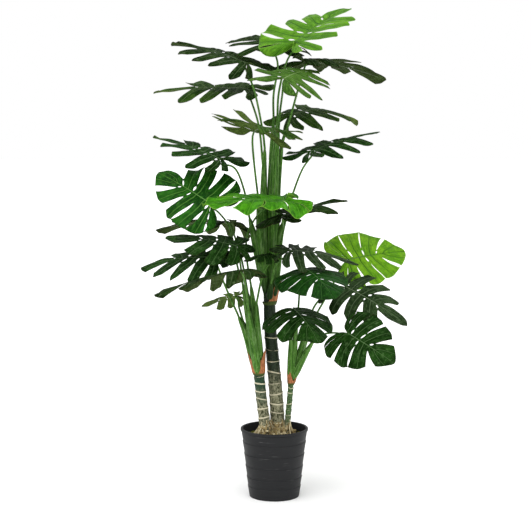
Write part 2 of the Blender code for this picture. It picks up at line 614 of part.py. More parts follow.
def blade_mesh(leaf):
    """Lobes between slits, each a small grid of triangles, on both sides of the midrib."""
    chance = random.Random(leaf.seed)
    lobes = leaf.lobes
    slits = {}
    ends = {}
    lifts = {}
    for side in (-1, 1):
        slits[side] = [
            (SLIT_START * chance.uniform(*START_SPREAD), SLIT_OPEN * chance.uniform(*OPEN_SPREAD))
            for _ in LOBE_EDGES[lobes]
        ]
        slits[side][-1] = (SLIT_START, 0.0)
        ends[side] = [chance.uniform(*LOBE_ENDS) for _ in range(lobes)]
        lifts[side] = [leaf.wave * chance.uniform(*LOBE_LIFTS) for _ in range(lobes)]
    shape = bmesh.new()
    for side in (-1, 1):
        columns = []
        for lobe in range(lobes):
            for step in range(LOBE_CELLS + 1):
                across = step / LOBE_CELLS
                if lobe == lobes - 1:
                    across **= TIP_CROWD
                column = []
                for row in BLADE_ROWS:
                    flat, free = flat_point(leaf, side, lobe, across, row, slits, ends)
                    arch = math.sin(math.pi * across) - ARCH_MIDDLE if 0 < lobe < lobes - 1 else 0.0
                    lift = lifts[side][lobe] * free**LIFT_BEND + leaf.wave * LOBE_ARCH * arch * free
                    if lobe == lobes - 1:
                        lift *= 1 - across
                    column.append(shape.verts.new(leaf.frame() @ formed_point(leaf, flat, lift)))
                columns.append(column)
        for index, (left, right) in enumerate(zip(columns, columns[1:])):
            if (index + 1) % (LOBE_CELLS + 1) == 0:  # a slit: the lobes meet from the midrib to its inner end
                corners = [left[0], left[1], right[1]]
                if side == 1:
                    corners.reverse()
                shape.faces.new(corners)
                continue
            for row in range(len(BLADE_ROWS) - 1):
                corners = [left[row], left[row + 1], right[row + 1], right[row]]
                if side == 1:
                    corners.reverse()
                shape.faces.new((corners[0], corners[1], corners[2]))
                shape.faces.new((corners[0], corners[2], corners[3]))
    bmesh.ops.remove_doubles(shape, verts=shape.verts, dist=CORNER_WELD)
    bmesh.ops.dissolve_degenerate(shape, edges=shape.edges, dist=CORNER_WELD / 2)
    bmesh.ops.triangulate(shape, faces=shape.faces)
    bmesh.ops.recalc_face_normals(shape, faces=shape.faces)
    mesh = bpy.data.meshes.new(leaf.name)
    shape.to_mesh(mesh)
    shape.free()
    return mesh


def make_leaf(leaf, group, parts):
    """The blade with its stalk, fused where the stalk meets the midrib."""
    blade = add_object(leaf.name, blade_mesh(leaf), group, f"leaf_{leaf.colour}")
    solid = blade.modifiers.new("thickness", "SOLIDIFY")
    solid.thickness = BLADE_THICKNESS
    solid.offset = 0.0
    apply_modifiers(blade)
    route = stalk_route(leaf)
    tube("stalk", route, [STALK_RADIUS] * len(route), parts, 1)
    combine(blade, "UNION", parts)
    keep_largest(blade)


def main():
    clear_scene()
    plant = new_collection("potted_monstera")
    parts = new_collection("parts_to_fuse")
    cutters = new_collection("cutters")
    parts.hide_render = True
    cutters.hide_render = True
    make_pot(plant)
    make_filler(plant, cutters)
    for side in STEMS:
        make_stem(side, plant, parts)
        add_object(f"husk_{side}", husk_mesh(side), plant, "husk")
        make_sheaths(side, plant, parts, cutters)
    for leaf in LEAVES:
        make_leaf(leaf, plant, parts)
    for item in plant.objects:
        item.data.shade_smooth()
        item.data.set_sharp_from_angle(angle=SMOOTH_ANGLE)
    bpy.data.collections.remove(parts)
    bpy.data.collections.remove(cutters)


main()
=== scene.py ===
import math
import random

import bmesh
import bpy
from mathutils import Matrix, Vector, noise


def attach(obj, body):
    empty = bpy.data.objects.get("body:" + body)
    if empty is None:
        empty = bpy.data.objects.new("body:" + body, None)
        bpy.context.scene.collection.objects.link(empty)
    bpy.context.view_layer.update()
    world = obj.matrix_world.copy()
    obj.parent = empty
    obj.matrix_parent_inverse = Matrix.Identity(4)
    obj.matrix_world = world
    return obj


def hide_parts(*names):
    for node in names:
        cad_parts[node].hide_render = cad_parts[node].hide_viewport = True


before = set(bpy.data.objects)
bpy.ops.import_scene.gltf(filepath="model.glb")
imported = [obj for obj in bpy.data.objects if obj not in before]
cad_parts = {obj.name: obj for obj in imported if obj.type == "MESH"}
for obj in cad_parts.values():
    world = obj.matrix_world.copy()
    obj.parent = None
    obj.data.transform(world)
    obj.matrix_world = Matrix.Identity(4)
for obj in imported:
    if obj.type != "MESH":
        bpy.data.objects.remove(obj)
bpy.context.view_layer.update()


# meshes

def curvePoint(a, b, c, d, t):
    # on the smooth curve from b to c, with a before them and d after
    return 0.5 * (2 * b + (c - a) * t + (2 * a - 5 * b + 4 * c - d) * t**2 + (3 * b - a - 3 * c + d) * t**3)


def smoothRoute(points, steps):
    points = [Vector(point) for point in points]
    ends = [2 * points[0] - points[1], *points, 2 * points[-1] - points[-2]]
    route = [curvePoint(a, b, c, d, step / steps)
             for a, b, c, d in zip(ends, ends[1:], ends[2:], ends[3:]) for step in range(steps)]
    return [*route, points[-1]]


def mergeDoubles(shape, verts, within=0.000001):
    bmesh.ops.remove_doubles(shape, verts=verts, dist=within)


def shapedGrid(shape, cellsX, cellsY, place, uvLength=1.0, material=0):
    # a flat grid moved to place(u, v)
    made = bmesh.ops.create_grid(shape, x_segments=cellsX, y_segments=cellsY, size=0.5)["verts"]
    uvLayer = shape.loops.layers.uv.verify()
    for face in {face for vert in made for face in vert.link_faces}:
        face.material_index = material
        face.smooth = True
        for loop in face.loops:
            loop[uvLayer].uv = (loop.vert.co.x + 0.5, (loop.vert.co.y + 0.5) * uvLength)
    for vert in made:
        vert.co = place(vert.co.x + 0.5, vert.co.y + 0.5)
    return made


def ringFrames(route):
    frames = []
    side = None
    for index, centre in enumerate(route):
        ahead = (route[min(index + 1, len(route) - 1)] - route[max(index - 1, 0)]).normalized()
        if side is None:
            side = ahead.cross(Vector((0, 1, 0)))
        side = (side - ahead * side.dot(ahead)).normalized()
        frames.append((centre, side, ahead.cross(side)))
    return frames


def addTube(shape, route, radiusAt, sides, material=0):
    # radiusAt(share of the length, angle); both ends are closed
    frames = ringFrames(route)
    frames = [frames[0], *frames, frames[-1]]
    last = len(frames) - 1
    length = sum((b - a).length for a, b in zip(route, route[1:]))

    def place(u, v):
        ring = round(v * last)
        centre, side, up = frames[ring]
        if ring in (0, last):
            return centre.copy()
        angle = 2 * math.pi * u
        radius = radiusAt((ring - 1) / (last - 2), angle)
        return centre + (side * math.cos(angle) + up * math.sin(angle)) * radius

    made = shapedGrid(shape, sides, last, place, length, material)
    mergeDoubles(shape, made)
    return [vert for vert in made if vert.is_valid]


def outward(angle):
    return Vector((math.cos(angle), math.sin(angle), 0.0))


def newObject(name, content):
    made = bpy.data.objects.new(name, content)
    bpy.context.scene.collection.objects.link(made)
    return made


def newMesh(name, shape, materials):
    mesh = bpy.data.meshes.new(name)
    shape.to_mesh(mesh)
    shape.free()
    for item in materials:
        mesh.materials.append(item)
    return mesh


def newPiece(name, shape, materials, slot, *nodes, up=None):
    # an open sheet's outside is the side that faces up
    bmesh.ops.recalc_face_normals(shape, faces=shape.faces)
    if up is not None and sum(face.normal.dot(up) * face.calc_area() for face in shape.faces) < 0:
        bmesh.ops.reverse_faces(shape, faces=shape.faces)
    piece = newObject(name, newMesh(name, shape, materials))
    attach(piece, "root")
    if nodes:
        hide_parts(*nodes)
    return piece


def addWall(piece, thickness, materialOffset=0):
    wall = piece.modifiers.new("wall", "SOLIDIFY")
    wall.thickness = thickness
    wall.offset = 0.0
    wall.material_offset = materialOffset


# shader helpers

def setInput(tree, socket, value):
    if isinstance(value, bpy.types.NodeSocket):
        tree.links.new(value, socket)
    elif isinstance(value, tuple) and len(value) == 3 and socket.type == "RGBA":
        socket.default_value = (*value, 1.0)
    else:
        socket.default_value = value


def calc(tree, operation, *values, clamp=False):
    node = tree.nodes.new("ShaderNodeMath")
    node.operation = operation
    node.use_clamp = clamp
    for socket, value in zip(node.inputs, values):
        setInput(tree, socket, value)
    return node.outputs[0]


def plus(tree, first, second):
    return calc(tree, "ADD", first, second)


def minus(tree, first, second):
    return calc(tree, "SUBTRACT", first, second)


def times(tree, first, second):
    return calc(tree, "MULTIPLY", first, second)


def spread(tree, value, low, high, toLow=0.0, toHigh=1.0):
    node = tree.nodes.new("ShaderNodeMapRange")
    node.interpolation_type = "SMOOTHSTEP"
    for title, setting in (("Value", value), ("From Min", low), ("From Max", high),
                           ("To Min", toLow), ("To Max", toHigh)):
        setInput(tree, node.inputs[title], setting)
    return node.outputs[0]


def blendColour(tree, factor, first, second):
    node = tree.nodes.new("ShaderNodeMix")
    node.data_type = "RGBA"
    for index, value in ((0, factor), (6, first), (7, second)):
        setInput(tree, node.inputs[index], value)
    return node.outputs[2]


def coated(tree, colour, *coats):
    # each coat is a mask, its strength and its colour
    for mask, strength, over in coats:
        colour = blendColour(tree, times(tree, mask, strength), colour, over)
    return colour


def noiseValue(tree, vector, scale, detail=3.0, roughness=0.55):
    node = tree.nodes.new("ShaderNodeTexNoise")
    for title, value in (("Vector", vector), ("Scale", scale), ("Detail", detail), ("Roughness", roughness)):
        setInput(tree, node.inputs[title], value)
    return node.outputs["Fac"]


def streakNoise(tree, vector, scale, detail=3.0, roughness=0.55):
    # noise with a scale of its own on each axis
    node = tree.nodes.new("ShaderNodeMapping")
    setInput(tree, node.inputs["Vector"], vector)
    node.inputs["Scale"].default_value = scale
    return noiseValue(tree, node.outputs[0], 1.0, detail, roughness)


def attributeValue(tree, name):
    node = tree.nodes.new("ShaderNodeAttribute")
    node.attribute_name = name
    return node.outputs["Fac"]


def coordsOf(tree, kind="Object"):
    return tree.nodes.new("ShaderNodeTexCoord").outputs[kind]


def splitVector(tree, vector):
    node = tree.nodes.new("ShaderNodeSeparateXYZ")
    tree.links.new(vector, node.inputs[0])
    return node.outputs


def newMaterial(name):
    made = bpy.data.materials.new(name)
    made.use_nodes = True
    return made, made.node_tree


def finishMaterial(made, colour, rough, shine=0.5, bump=None):
    # bump: the height, its strength and its distance
    tree = made.node_tree
    shader = tree.nodes["Principled BSDF"]
    setInput(tree, shader.inputs["Base Color"], colour)
    setInput(tree, shader.inputs["Roughness"], rough)
    shader.inputs["Specular IOR Level"].default_value = shine
    if bump:
        node = tree.nodes.new("ShaderNodeBump")
        for title, value in zip(("Height", "Strength", "Distance"), bump):
            setInput(tree, node.inputs[title], value)
        tree.links.new(node.outputs[0], shader.inputs["Normal"])
    return made


# camera, light and floor

view = {"place": (-0.0275, -4.2, 1.155), "pitch": 84.11, "lens": 93.1, "sensor": 36}
lamps = {"keyLamp": ((-0.6, -1.3, 2.5), 2.1, 70), "fillLamp": ((1.6, -1.4, 2.0), 0.6, 90)}

camera = newObject("camera", bpy.data.cameras.new("camera"))
camera.matrix_world = Matrix.Translation(view["place"]) @ Matrix.Rotation(math.radians(view["pitch"]), 4, "X")
camera.data.lens = view["lens"]
camera.data.sensor_width = view["sensor"]
bpy.context.scene.camera = camera

for name, (place, strength, wide) in lamps.items():
    lamp = bpy.data.lights.new(name, "SUN")
    lamp.energy = strength
    lamp.angle = math.radians(wide)
    holder = newObject(name, lamp)
    holder.location = place
    holder.rotation_euler = (-Vector(place)).to_track_quat("-Z", "Y").to_euler()

world = bpy.data.worlds.new("studio")
world.use_nodes = True
worldTree = world.node_tree
backdrop = worldTree.nodes["Background"]  # white behind the plant
backdrop.inputs["Color"].default_value = (1.0, 1.0, 1.0, 1.0)
dome = worldTree.nodes.new("ShaderNodeBackground")  # the softer light that falls on it
dome.inputs["Color"].default_value = (1.0, 1.0, 1.0, 1.0)
dome.inputs["Strength"].default_value = 0.88
either = worldTree.nodes.new("ShaderNodeMixShader")
worldTree.links.new(worldTree.nodes.new("ShaderNodeLightPath").outputs["Is Camera Ray"], either.inputs[0])
worldTree.links.new(dome.outputs[0], either.inputs[1])
worldTree.links.new(backdrop.outputs[0], either.inputs[2])
worldTree.links.new(either.outputs[0], worldTree.nodes["World Output"].inputs["Surface"])
bpy.context.scene.world = world
bpy.context.scene.view_settings.view_transform = "Standard"

floorShape = bmesh.new()
bmesh.ops.create_grid(floorShape, x_segments=1, y_segments=1, size=40)
floorWhite = finishMaterial(newMaterial("floorWhite")[0], (0.97, 0.97, 0.97), 0.9)
floor = newObject("floor", newMesh("floor", floorShape, [floorWhite]))
print("stage set")


# pot

pot = {
    "height": 0.215, "rim": 0.105, "base": 0.079, "wall": 0.003, "floor": 0.006,
    "lip": 0.008, "overhang": 0.0015, "edge": 0.001,
    "bandTops": (0.207, 0.175, 0.137, 0.099, 0.064, 0.035), "bandStep": 0.0026, "bandTaper": 0.0016,
    "bevelIn": 0.0008, "bevelDown": 0.0012, "bevelFoot": 0.0006,
    "uneven": 0.0004, "sharp": 40, "turns": 144,
}


def potRadius(height):
    return pot["base"] + (pot["rim"] - pot["overhang"] - pot["base"]) * height / pot["height"]


def potInner(height):
    return potRadius(height) - pot["bandStep"] - pot["wall"]


def potMaterial():
    made, tree = newMaterial("potPlastic")
    coords = coordsOf(tree)
    cloud = noiseValue(tree, coords, 14.0, 4.0)
    fine = noiseValue(tree, coords, 900.0, 2.0)
    drawn = streakNoise(tree, coords, (14.0, 14.0, 260.0))  # marks run round the pot
    colour = blendColour(tree, cloud, (0.005, 0.0055, 0.0065), (0.0095, 0.01, 0.011))
    colour = coated(tree, colour, (spread(tree, drawn, 0.64, 0.72), 0.35, (0.12, 0.12, 0.12)))
    height = plus(tree, times(tree, fine, 0.25), times(tree, drawn, 0.75))
    return finishMaterial(made, colour, spread(tree, cloud, 0.3, 0.7, 0.5, 0.62), 0.25, (height, 0.35, 0.0006))


def potProfile():
    # from the middle of the inner floor, up the inside and down the outside
    top, edge, taper = pot["height"], pot["edge"], pot["bandTaper"]
    lipFoot = top - pot["lip"]
    inside = [(0.0, pot["floor"]), (potInner(pot["floor"]), pot["floor"])]
    inside += [(potInner(top * step / 8), top * step / 8) for step in range(1, 8)]
    inside.append((potInner(top - edge), top - edge))
    rim = [(potInner(top) + edge, top), (pot["rim"] - edge, top), (pot["rim"], top - edge),
           (pot["rim"], lipFoot + edge), (pot["rim"] - edge, lipFoot)]
    outside = []
    tops = (*pot["bandTops"], 0.0)
    for high, low in zip(tops, tops[1:]):
        outside.append((potRadius(high) - pot["bevelIn"], high))
        outside.append((potRadius(high), high - pot["bevelDown"]))
        for step in range(1, 6):
            height = high + (low - high) * step / 6
            outside.append((potRadius(height) - taper * step / 6, height))
        outside.append((potRadius(low) - taper, low + pot["bevelFoot"]))
    foot = potRadius(0.0) - taper
    return inside + rim + outside + [(foot, edge), (foot - edge, 0.0), (0.0, 0.0)]


def makePot():
    profile = potProfile()
    last = len(profile) - 1
    shape = bmesh.new()

    def place(u, v):
        radius, height = profile[round(v * last)]
        angle = 2 * math.pi * u
        if 0.01 < height < pot["height"] - pot["lip"] and radius > potInner(height) + 0.001:
            # the moulding isn't quite even
            spot = Vector((2 * math.cos(angle), 2 * math.sin(angle), 12 * height))
            radius += pot["uneven"] * noise.noise(spot)
        return Vector((radius * math.cos(angle), radius * math.sin(angle), height))

    shapedGrid(shape, pot["turns"], last, place)
    mergeDoubles(shape, shape.verts)
    piece = newPiece("potShell", shape, [potMaterial()], "pot_plastic", "pot")
    piece.data.set_sharp_from_angle(angle=math.radians(pot["sharp"]))


makePot()
print("pot done")


# filler, soil lumps and moss

filler = {
    "top": 0.19, "dip": 0.004, "dipFrom": 0.72, "dipOver": 0.28, "sink": 0.002, "rough": 0.0022,
    "gap": 0.0003, "skirt": 0.012, "rings": 26, "turns": 96, "lumps": 240, "lumpSize": (0.0015, 0.0042),
}
moss = {"tufts": 210, "sides": (0.0, math.pi, 2.2, 5.2), "blades": 4, "lean": 0.006, "tall": (0.003, 0.009),
        "thick": 0.0007}


def soilMaterial():
    made, tree = newMaterial("soil")
    coords = coordsOf(tree)
    grain = noiseValue(tree, coords, 420.0, 4.0)
    patch = noiseValue(tree, coords, 26.0)
    colour = blendColour(tree, grain, (0.01, 0.009, 0.006), (0.07, 0.052, 0.028))
    colour = blendColour(tree, spread(tree, patch, 0.52, 0.66), colour, (0.07, 0.09, 0.01))
    return finishMaterial(made, colour, 0.95, bump=(grain, 0.8, 0.002))


def mossMaterial():
    made, tree = newMaterial("moss")
    cloud = noiseValue(tree, coordsOf(tree), 60.0)
    return finishMaterial(made, blendColour(tree, cloud, (0.05, 0.075, 0.006), (0.3, 0.27, 0.025)), 0.9)


def fillerHeight(x, y):
    radius = math.hypot(x, y) / potInner(filler["top"])
    height = filler["top"] - filler["dip"] * max(0.0, (radius - filler["dipFrom"]) / filler["dipOver"])
    bump = noise.noise(Vector((x * 60, y * 60, 0))) + 0.5 * noise.noise(Vector((x * 170, y * 170, 3)))
    return height - filler["sink"] + filler["rough"] * bump


def makeFiller():
    shape = bmesh.new()
    outer = potInner(filler["top"] - filler["dip"]) - filler["gap"]

    def place(u, v):
        radius = outer * min(v * filler["rings"] / (filler["rings"] - 1), 1.0)
        angle = 2 * math.pi * u
        x, y = radius * math.cos(angle), radius * math.sin(angle)
        drop = filler["skirt"] if v > 1 - 0.5 / filler["rings"] else 0.0
        return Vector((x, y, fillerHeight(x, y) - drop))

    shapedGrid(shape, filler["turns"], filler["rings"], place)
    chance = random.Random(5)
    for _ in range(filler["lumps"]):
        radius = outer * 0.95 * math.sqrt(chance.random())
        angle = chance.uniform(0, 2 * math.pi)
        x, y = radius * math.cos(angle), radius * math.sin(angle)
        size = chance.uniform(*filler["lumpSize"])
        turn = Matrix.Rotation(chance.uniform(0, 6), 3, "Z").to_quaternion()
        sizes = Vector((size, size * chance.uniform(0.6, 1.0), size * chance.uniform(0.4, 0.8)))
        matrix = Matrix.LocRotScale(Vector((x, y, fillerHeight(x, y))), turn, sizes)
        for vert in bmesh.ops.create_icosphere(shape, subdivisions=1, radius=1.0, matrix=matrix)["verts"]:
            vert.co += Vector((1, 1, 1)) * size * 0.3 * noise.noise(vert.co * 500)
    mergeDoubles(shape, shape.verts)
    newPiece("fillerTop", shape, [soilMaterial()], "filler", "filler")


def makeMoss():
    shape = bmesh.new()
    chance = random.Random(8)
    outer = potInner(filler["top"]) - 0.006
    for _ in range(moss["tufts"]):
        angle = chance.choice(moss["sides"]) + chance.gauss(0, 0.55)
        radius = outer * chance.uniform(0.55, 1.0)
        root = Vector((radius * math.cos(angle), radius * math.sin(angle), 0))
        root.z = fillerHeight(root.x, root.y) - 0.001
        for _ in range(moss["blades"]):
            lean = Vector((chance.uniform(-1, 1), chance.uniform(-1, 1), 0)) * moss["lean"]
            tall = chance.uniform(*moss["tall"])
            tip = root + lean + Vector((0, 0, tall))
            route = smoothRoute([root, root.lerp(tip, 0.5) + Vector((0, 0, tall * 0.25)), tip], 2)
            addTube(shape, route, lambda share, angle: moss["thick"] * (1.2 - share), 3)
    newPiece("mossTufts", shape, [mossMaterial()], "filler")


makeFiller()
makeMoss()
print("filler done")


# stems with their roots

# tones: dark and light green of the bark; green: heights between which the woody foot turns green
# facing: bearings between which the thin strands and the knots grow; leaves: numbers of the stem's leaves
stems = {
    "left": {
        "route": ((-0.027, -0.012, 0.16), (-0.031, -0.012, 0.238), (-0.04, -0.012, 0.31),
                  (-0.049, -0.012, 0.4)),
        "radii": (0.0175, 0.016),
        "rings": (0.225, 0.252, 0.28, 0.308, 0.334, 0.358, 0.381),
        "roots": ((150, 0.03), (186, 0.026), (216, 0.034), (248, 0.026), (282, 0.03)),
        "tones": ((0.003, 0.018, 0.008), (0.028, 0.085, 0.034)), "green": (0.27, 0.36),
        "strands": 22, "knots": 14, "facing": (-160, 20), "seed": 11,
        "leaves": (11, 12, 14, 15, 16, 23, 24, 25),
    },
    "centre": {
        "route": ((0.011, 0.015, 0.16), (0.009, 0.015, 0.25), (0.004, 0.015, 0.33), (-0.006, 0.015, 0.441),
                  (-0.013, 0.012, 0.53), (-0.016, 0.006, 0.64)),
        "radii": (0.0225, 0.018),
        "rings": (0.232, 0.262, 0.291, 0.321, 0.353, 0.388, 0.424, 0.46, 0.498, 0.538),
        "roots": ((22, 0.026), (58, 0.032), (95, 0.028), (132, 0.032), (-72, 0.03), (-96, 0.024)),
        "tones": ((0.002, 0.006, 0.002), (0.022, 0.046, 0.016)), "green": (0.31, 0.42),
        "strands": 70, "knots": 60, "facing": (-160, -5), "seed": 12,
        "leaves": (1, 2, 3, 4, 5, 6, 7, 8, 9, 10, 13, 18),
    },
    "right": {
        "route": ((0.04, -0.004, 0.16), (0.042, -0.004, 0.24), (0.048, -0.002, 0.31),
                  (0.053, -0.001, 0.374)),
        "radii": (0.009, 0.008),
        "rings": tuple(0.218 + 0.018 * step for step in range(8)),
        "roots": ((-105, 0.03), (-62, 0.034), (-20, 0.026), (25, 0.03)),
        "tones": ((0.006, 0.028, 0.005), (0.15, 0.25, 0.09)), "pale": 0.65, "green": (0.2, 0.27),
        "strands": 12, "knots": 6, "facing": (-170, 20), "seed": 13,
        "leaves": (17, 19, 20, 21, 22),
    },
}
bark = {"cell": 0.0011, "sides": 40, "rough": 0.0005, "flare": 0.34, "flareHeight": 0.016}
scars = {"tilt": (0.0015, 0.005), "pale": (0.6, 1.3), "lip": 0.0016, "below": 0.016, "above": 0.0016,
         "line": 0.0022, "waver": 0.0007}
roots = {
    "thick": 0.004, "taper": 0.45, "knobs": 0.3, "sides": 9, "swing": 0.016, "start": 0.034, "dive": 0.006,
    "strandReach": (0.006, 0.034), "strandThick": (0.001, 0.003), "strandLift": (0.2, 1.5), "stray": 0.0045,
    "knotFar": (-0.002, 0.02), "knotEnd": 0.026, "knotSize": (0.0035, 0.008), "wallGap": 0.004,
}


def barkMaterial(name, dark, light, low, high):
    # woody and grey-tan at the foot, dark green above; the scars are pale
    made, tree = newMaterial(name)
    coords = coordsOf(tree)
    cloud = noiseValue(tree, coords, 55.0, 4.0)
    speck = noiseValue(tree, coords, 380.0, 3.0, 0.7)
    scratch = streakNoise(tree, coords, (230.0, 230.0, 110.0), 5.0, 0.75)
    uneven = minus(tree, cloud, 0.5)
    level = plus(tree, splitVector(tree, coords)[2], times(tree, uneven, 0.12))
    woody = blendColour(tree, spread(tree, scratch, 0.38, 0.62), (0.026, 0.032, 0.012), (0.31, 0.3, 0.19))
    green = blendColour(tree, spread(tree, speck, 0.4, 0.68), dark, light)
    colour = blendColour(tree, spread(tree, level, low, high), woody, green)
    pale = spread(tree, plus(tree, attributeValue(tree, "scar"), times(tree, uneven, 0.9)), 0.45, 0.75)
    colour = coated(tree, colour, (pale, 0.9, (0.64, 0.59, 0.42)))
    height = plus(tree, scratch, times(tree, speck, 0.4))
    return finishMaterial(made, colour, spread(tree, level, low, high, 0.85, 0.5), 0.2, (height, 0.6, 0.0012))


def rootMaterial():
    # each root has its own tint, from brown to cream
    made, tree = newMaterial("rootTan")
    cloud = noiseValue(tree, coordsOf(tree), 160.0, 4.0, 0.65)
    streak = streakNoise(tree, coordsOf(tree, "UV"), (6.0, 60.0, 1.0))
    tint = plus(tree, attributeValue(tree, "tint"), times(tree, cloud, 0.8))
    colour = blendColour(tree, spread(tree, tint, 0.25, 0.8), (0.07, 0.034, 0.013), (0.33, 0.25, 0.11))
    colour = blendColour(tree, spread(tree, tint, 0.8, 1.35), colour, (0.7, 0.61, 0.39))
    colour = coated(tree, colour, (spread(tree, streak, 0.45, 0.7), 0.6, (0.09, 0.075, 0.03)))
    return finishMaterial(made, colour, 0.8, 0.2, (plus(tree, streak, cloud), 0.6, 0.001))


def atHeight(route, height):
    for low, high in zip(route, route[1:]):
        if low.z <= height <= high.z:
            return low.lerp(high, (height - low.z) / (high.z - low.z))
    return route[-1].copy()


def makeStem(side, finish):
    stem = stems[side]
    path = smoothRoute(stem["route"], 12)
    foot, top = path[0].z, path[-1].z
    chance = random.Random(stem["seed"])
    slant = {ring: (chance.uniform(*scars["tilt"]), chance.uniform(0, 6.28),
                    chance.uniform(*scars["pale"]) * stem.get("pale", 1.0)) for ring in stem["rings"]}
    thick = sum(stem["radii"]) / 2
    heights = [foot]
    while heights[-1] < top - 0.0012:
        heights.append(heights[-1] + bark["cell"])
    route = [atHeight(path, height) for height in heights]
    shape = bmesh.new()
    scarLayer = shape.verts.layers.float.new("scar")
    lastRing = len(heights) - 1

    def ringsAt(height, angle):
        # the raise of the nearest scar's lip, and how pale its line is
        raised, pale = 0.0, 0.0
        for ring, (tilt, bearing, strength) in slant.items():
            waver = scars["waver"] * noise.noise(Vector((angle * 1.5, ring * 90, 1)))
            away = height - (ring + tilt * math.cos(angle - bearing) + waver)
            if away < 0:
                raised = max(raised, scars["lip"] * max(0.0, 1 + away / scars["below"]) ** 1.5)
            else:
                raised = max(raised, scars["lip"] * max(0.0, 1 - away / scars["above"]))
            pale = max(pale, strength * math.exp(-(away / scars["line"]) ** 2))
        return raised, pale

    def radiusAt(share, angle):
        height = heights[round(share * lastRing)]
        grown = (height - foot) / (top - foot)
        radius = stem["radii"][0] + (stem["radii"][1] - stem["radii"][0]) * grown
        low = max(0.0, height - filler["top"])
        lobes = 1 + 0.7 * math.sin(angle * 3 + stem["seed"]) * math.cos(angle * 2)
        flare = math.exp(-low / bark["flareHeight"]) * thick * bark["flare"] * lobes
        rough = bark["rough"] * noise.noise(Vector((math.cos(angle) * 4, math.sin(angle) * 4, height * 160)))
        return radius + ringsAt(height, angle)[0] + flare + rough

    addTube(shape, route, radiusAt, bark["sides"])
    for vert in shape.verts:
        # the sweep's own angle starts on the side given by ahead x Y
        across = vert.co - atHeight(path, vert.co.z)
        paleness = ringsAt(vert.co.z, math.atan2(-across.y, -across.x))[1]
        vert[scarLayer] = paleness if across.length > 0.002 else 0.0
    newPiece(f"stem{side.title()}", shape, [finish], "stem_bark", f"stem_{side}")


def keepWithin(point, limit):
    if point.to_2d().length > limit:
        point.xy = point.to_2d().normalized() * limit


def makeRoots(side, finish):
    # the stout roots of the frame, with thinner strands and knots between them
    stem = stems[side]
    shape = bmesh.new()
    tintLayer = shape.verts.layers.float.new("tint")
    chance = random.Random(stem["seed"] + 20)
    trunk = stem["radii"][0]
    path = [Vector(point) for point in stem["route"]]
    centre = Vector((*atHeight(path, filler["top"] + 0.02).to_2d(), 0.0))
    wanted = [(bearing, reach, roots["thick"], 1.0, 0.0) for bearing, reach in stem["roots"]]
    for _ in range(stem["strands"]):
        wanted.append((*(chance.uniform(*limits) for limits in (stem["facing"], roots["strandReach"],
                                                                roots["strandThick"], roots["strandLift"])),
                       roots["stray"]))
    limit = potInner(filler["top"]) - roots["wallGap"]
    for bearing, reach, thick, lift, stray in wanted:
        out = outward(math.radians(bearing))
        across = Vector((-out.y, out.x, 0.0))
        swing = across * chance.uniform(-roots["swing"], roots["swing"])
        start = filler["top"] + roots["start"] * lift * chance.uniform(0.8, 1.1)
        rest = filler["top"] + 0.6 * thick
        points = [
            centre + out * trunk * 0.75 + Vector((0, 0, start + roots["dive"])),
            centre + out * (trunk + 0.0015) + Vector((0, 0, start - roots["dive"])),
            centre + out * (trunk + 0.3 * reach) + swing * 0.5 + Vector((0, 0, 0.45 * start + 0.55 * rest)),
            centre + out * (trunk + 0.7 * reach) + swing + Vector((0, 0, rest + 0.001)),
            centre + out * (trunk + reach) + swing + Vector((0, 0, rest - roots["dive"])),
        ]
        points[1] += across * chance.uniform(-stray, stray) * 1.5
        for point in points[2:4]:
            point += across * chance.uniform(-stray, stray) * 1.6 + out * chance.uniform(0.0, stray)
            point.z += chance.uniform(0.0, stray)
        for point in points:
            keepWithin(point, limit)
        bumpSeed = chance.uniform(0, 50)

        def radiusAt(share, angle, thick=thick, bumpSeed=bumpSeed):
            knobs = 1 + roots["knobs"] * noise.noise(Vector((share * 11, bumpSeed, 0)))
            return thick * (1 - roots["taper"] * share) * knobs

        tint = chance.uniform(0.05, 1.1)
        for vert in addTube(shape, smoothRoute(points, 7), radiusAt, roots["sides"]):
            vert[tintLayer] = tint
    for _ in range(stem["knots"]):
        out = outward(math.radians(chance.uniform(*stem["facing"])))
        far = chance.uniform(*roots["knotFar"])
        size = chance.uniform(*roots["knotSize"])
        place = centre + out * (trunk + far)
        lifted = roots["start"] * max(0.0, 1 - far / roots["knotEnd"]) * chance.uniform(0.0, 1.1)
        place.z = filler["top"] + lifted
        keepWithin(place, limit - size)
        turn = Vector((chance.gauss(0, 1), chance.gauss(0, 1), chance.gauss(0, 1))).to_track_quat("Z", "Y")
        matrix = Matrix.LocRotScale(place, turn, Vector((size, size * 0.7, size * chance.uniform(0.6, 1.3))))
        tint = chance.uniform(0.0, 0.8)
        for vert in bmesh.ops.create_icosphere(shape, subdivisions=3, radius=1.0, matrix=matrix)["verts"]:
            vert.co += (vert.co - place) * 0.55 * noise.noise(vert.co * 260)
            vert[tintLayer] = tint
    for face in shape.faces:
        face.smooth = True
    newPiece(f"roots{side.title()}", shape, [finish], "stem_bark")


rootTan = rootMaterial()
for side in stems:
    makeStem(side, barkMaterial(f"bark{side.title()}", *stems[side]["tones"], *stems[side]["green"]))
    makeRoots(side, rootTan)
print("stems done")


# husks

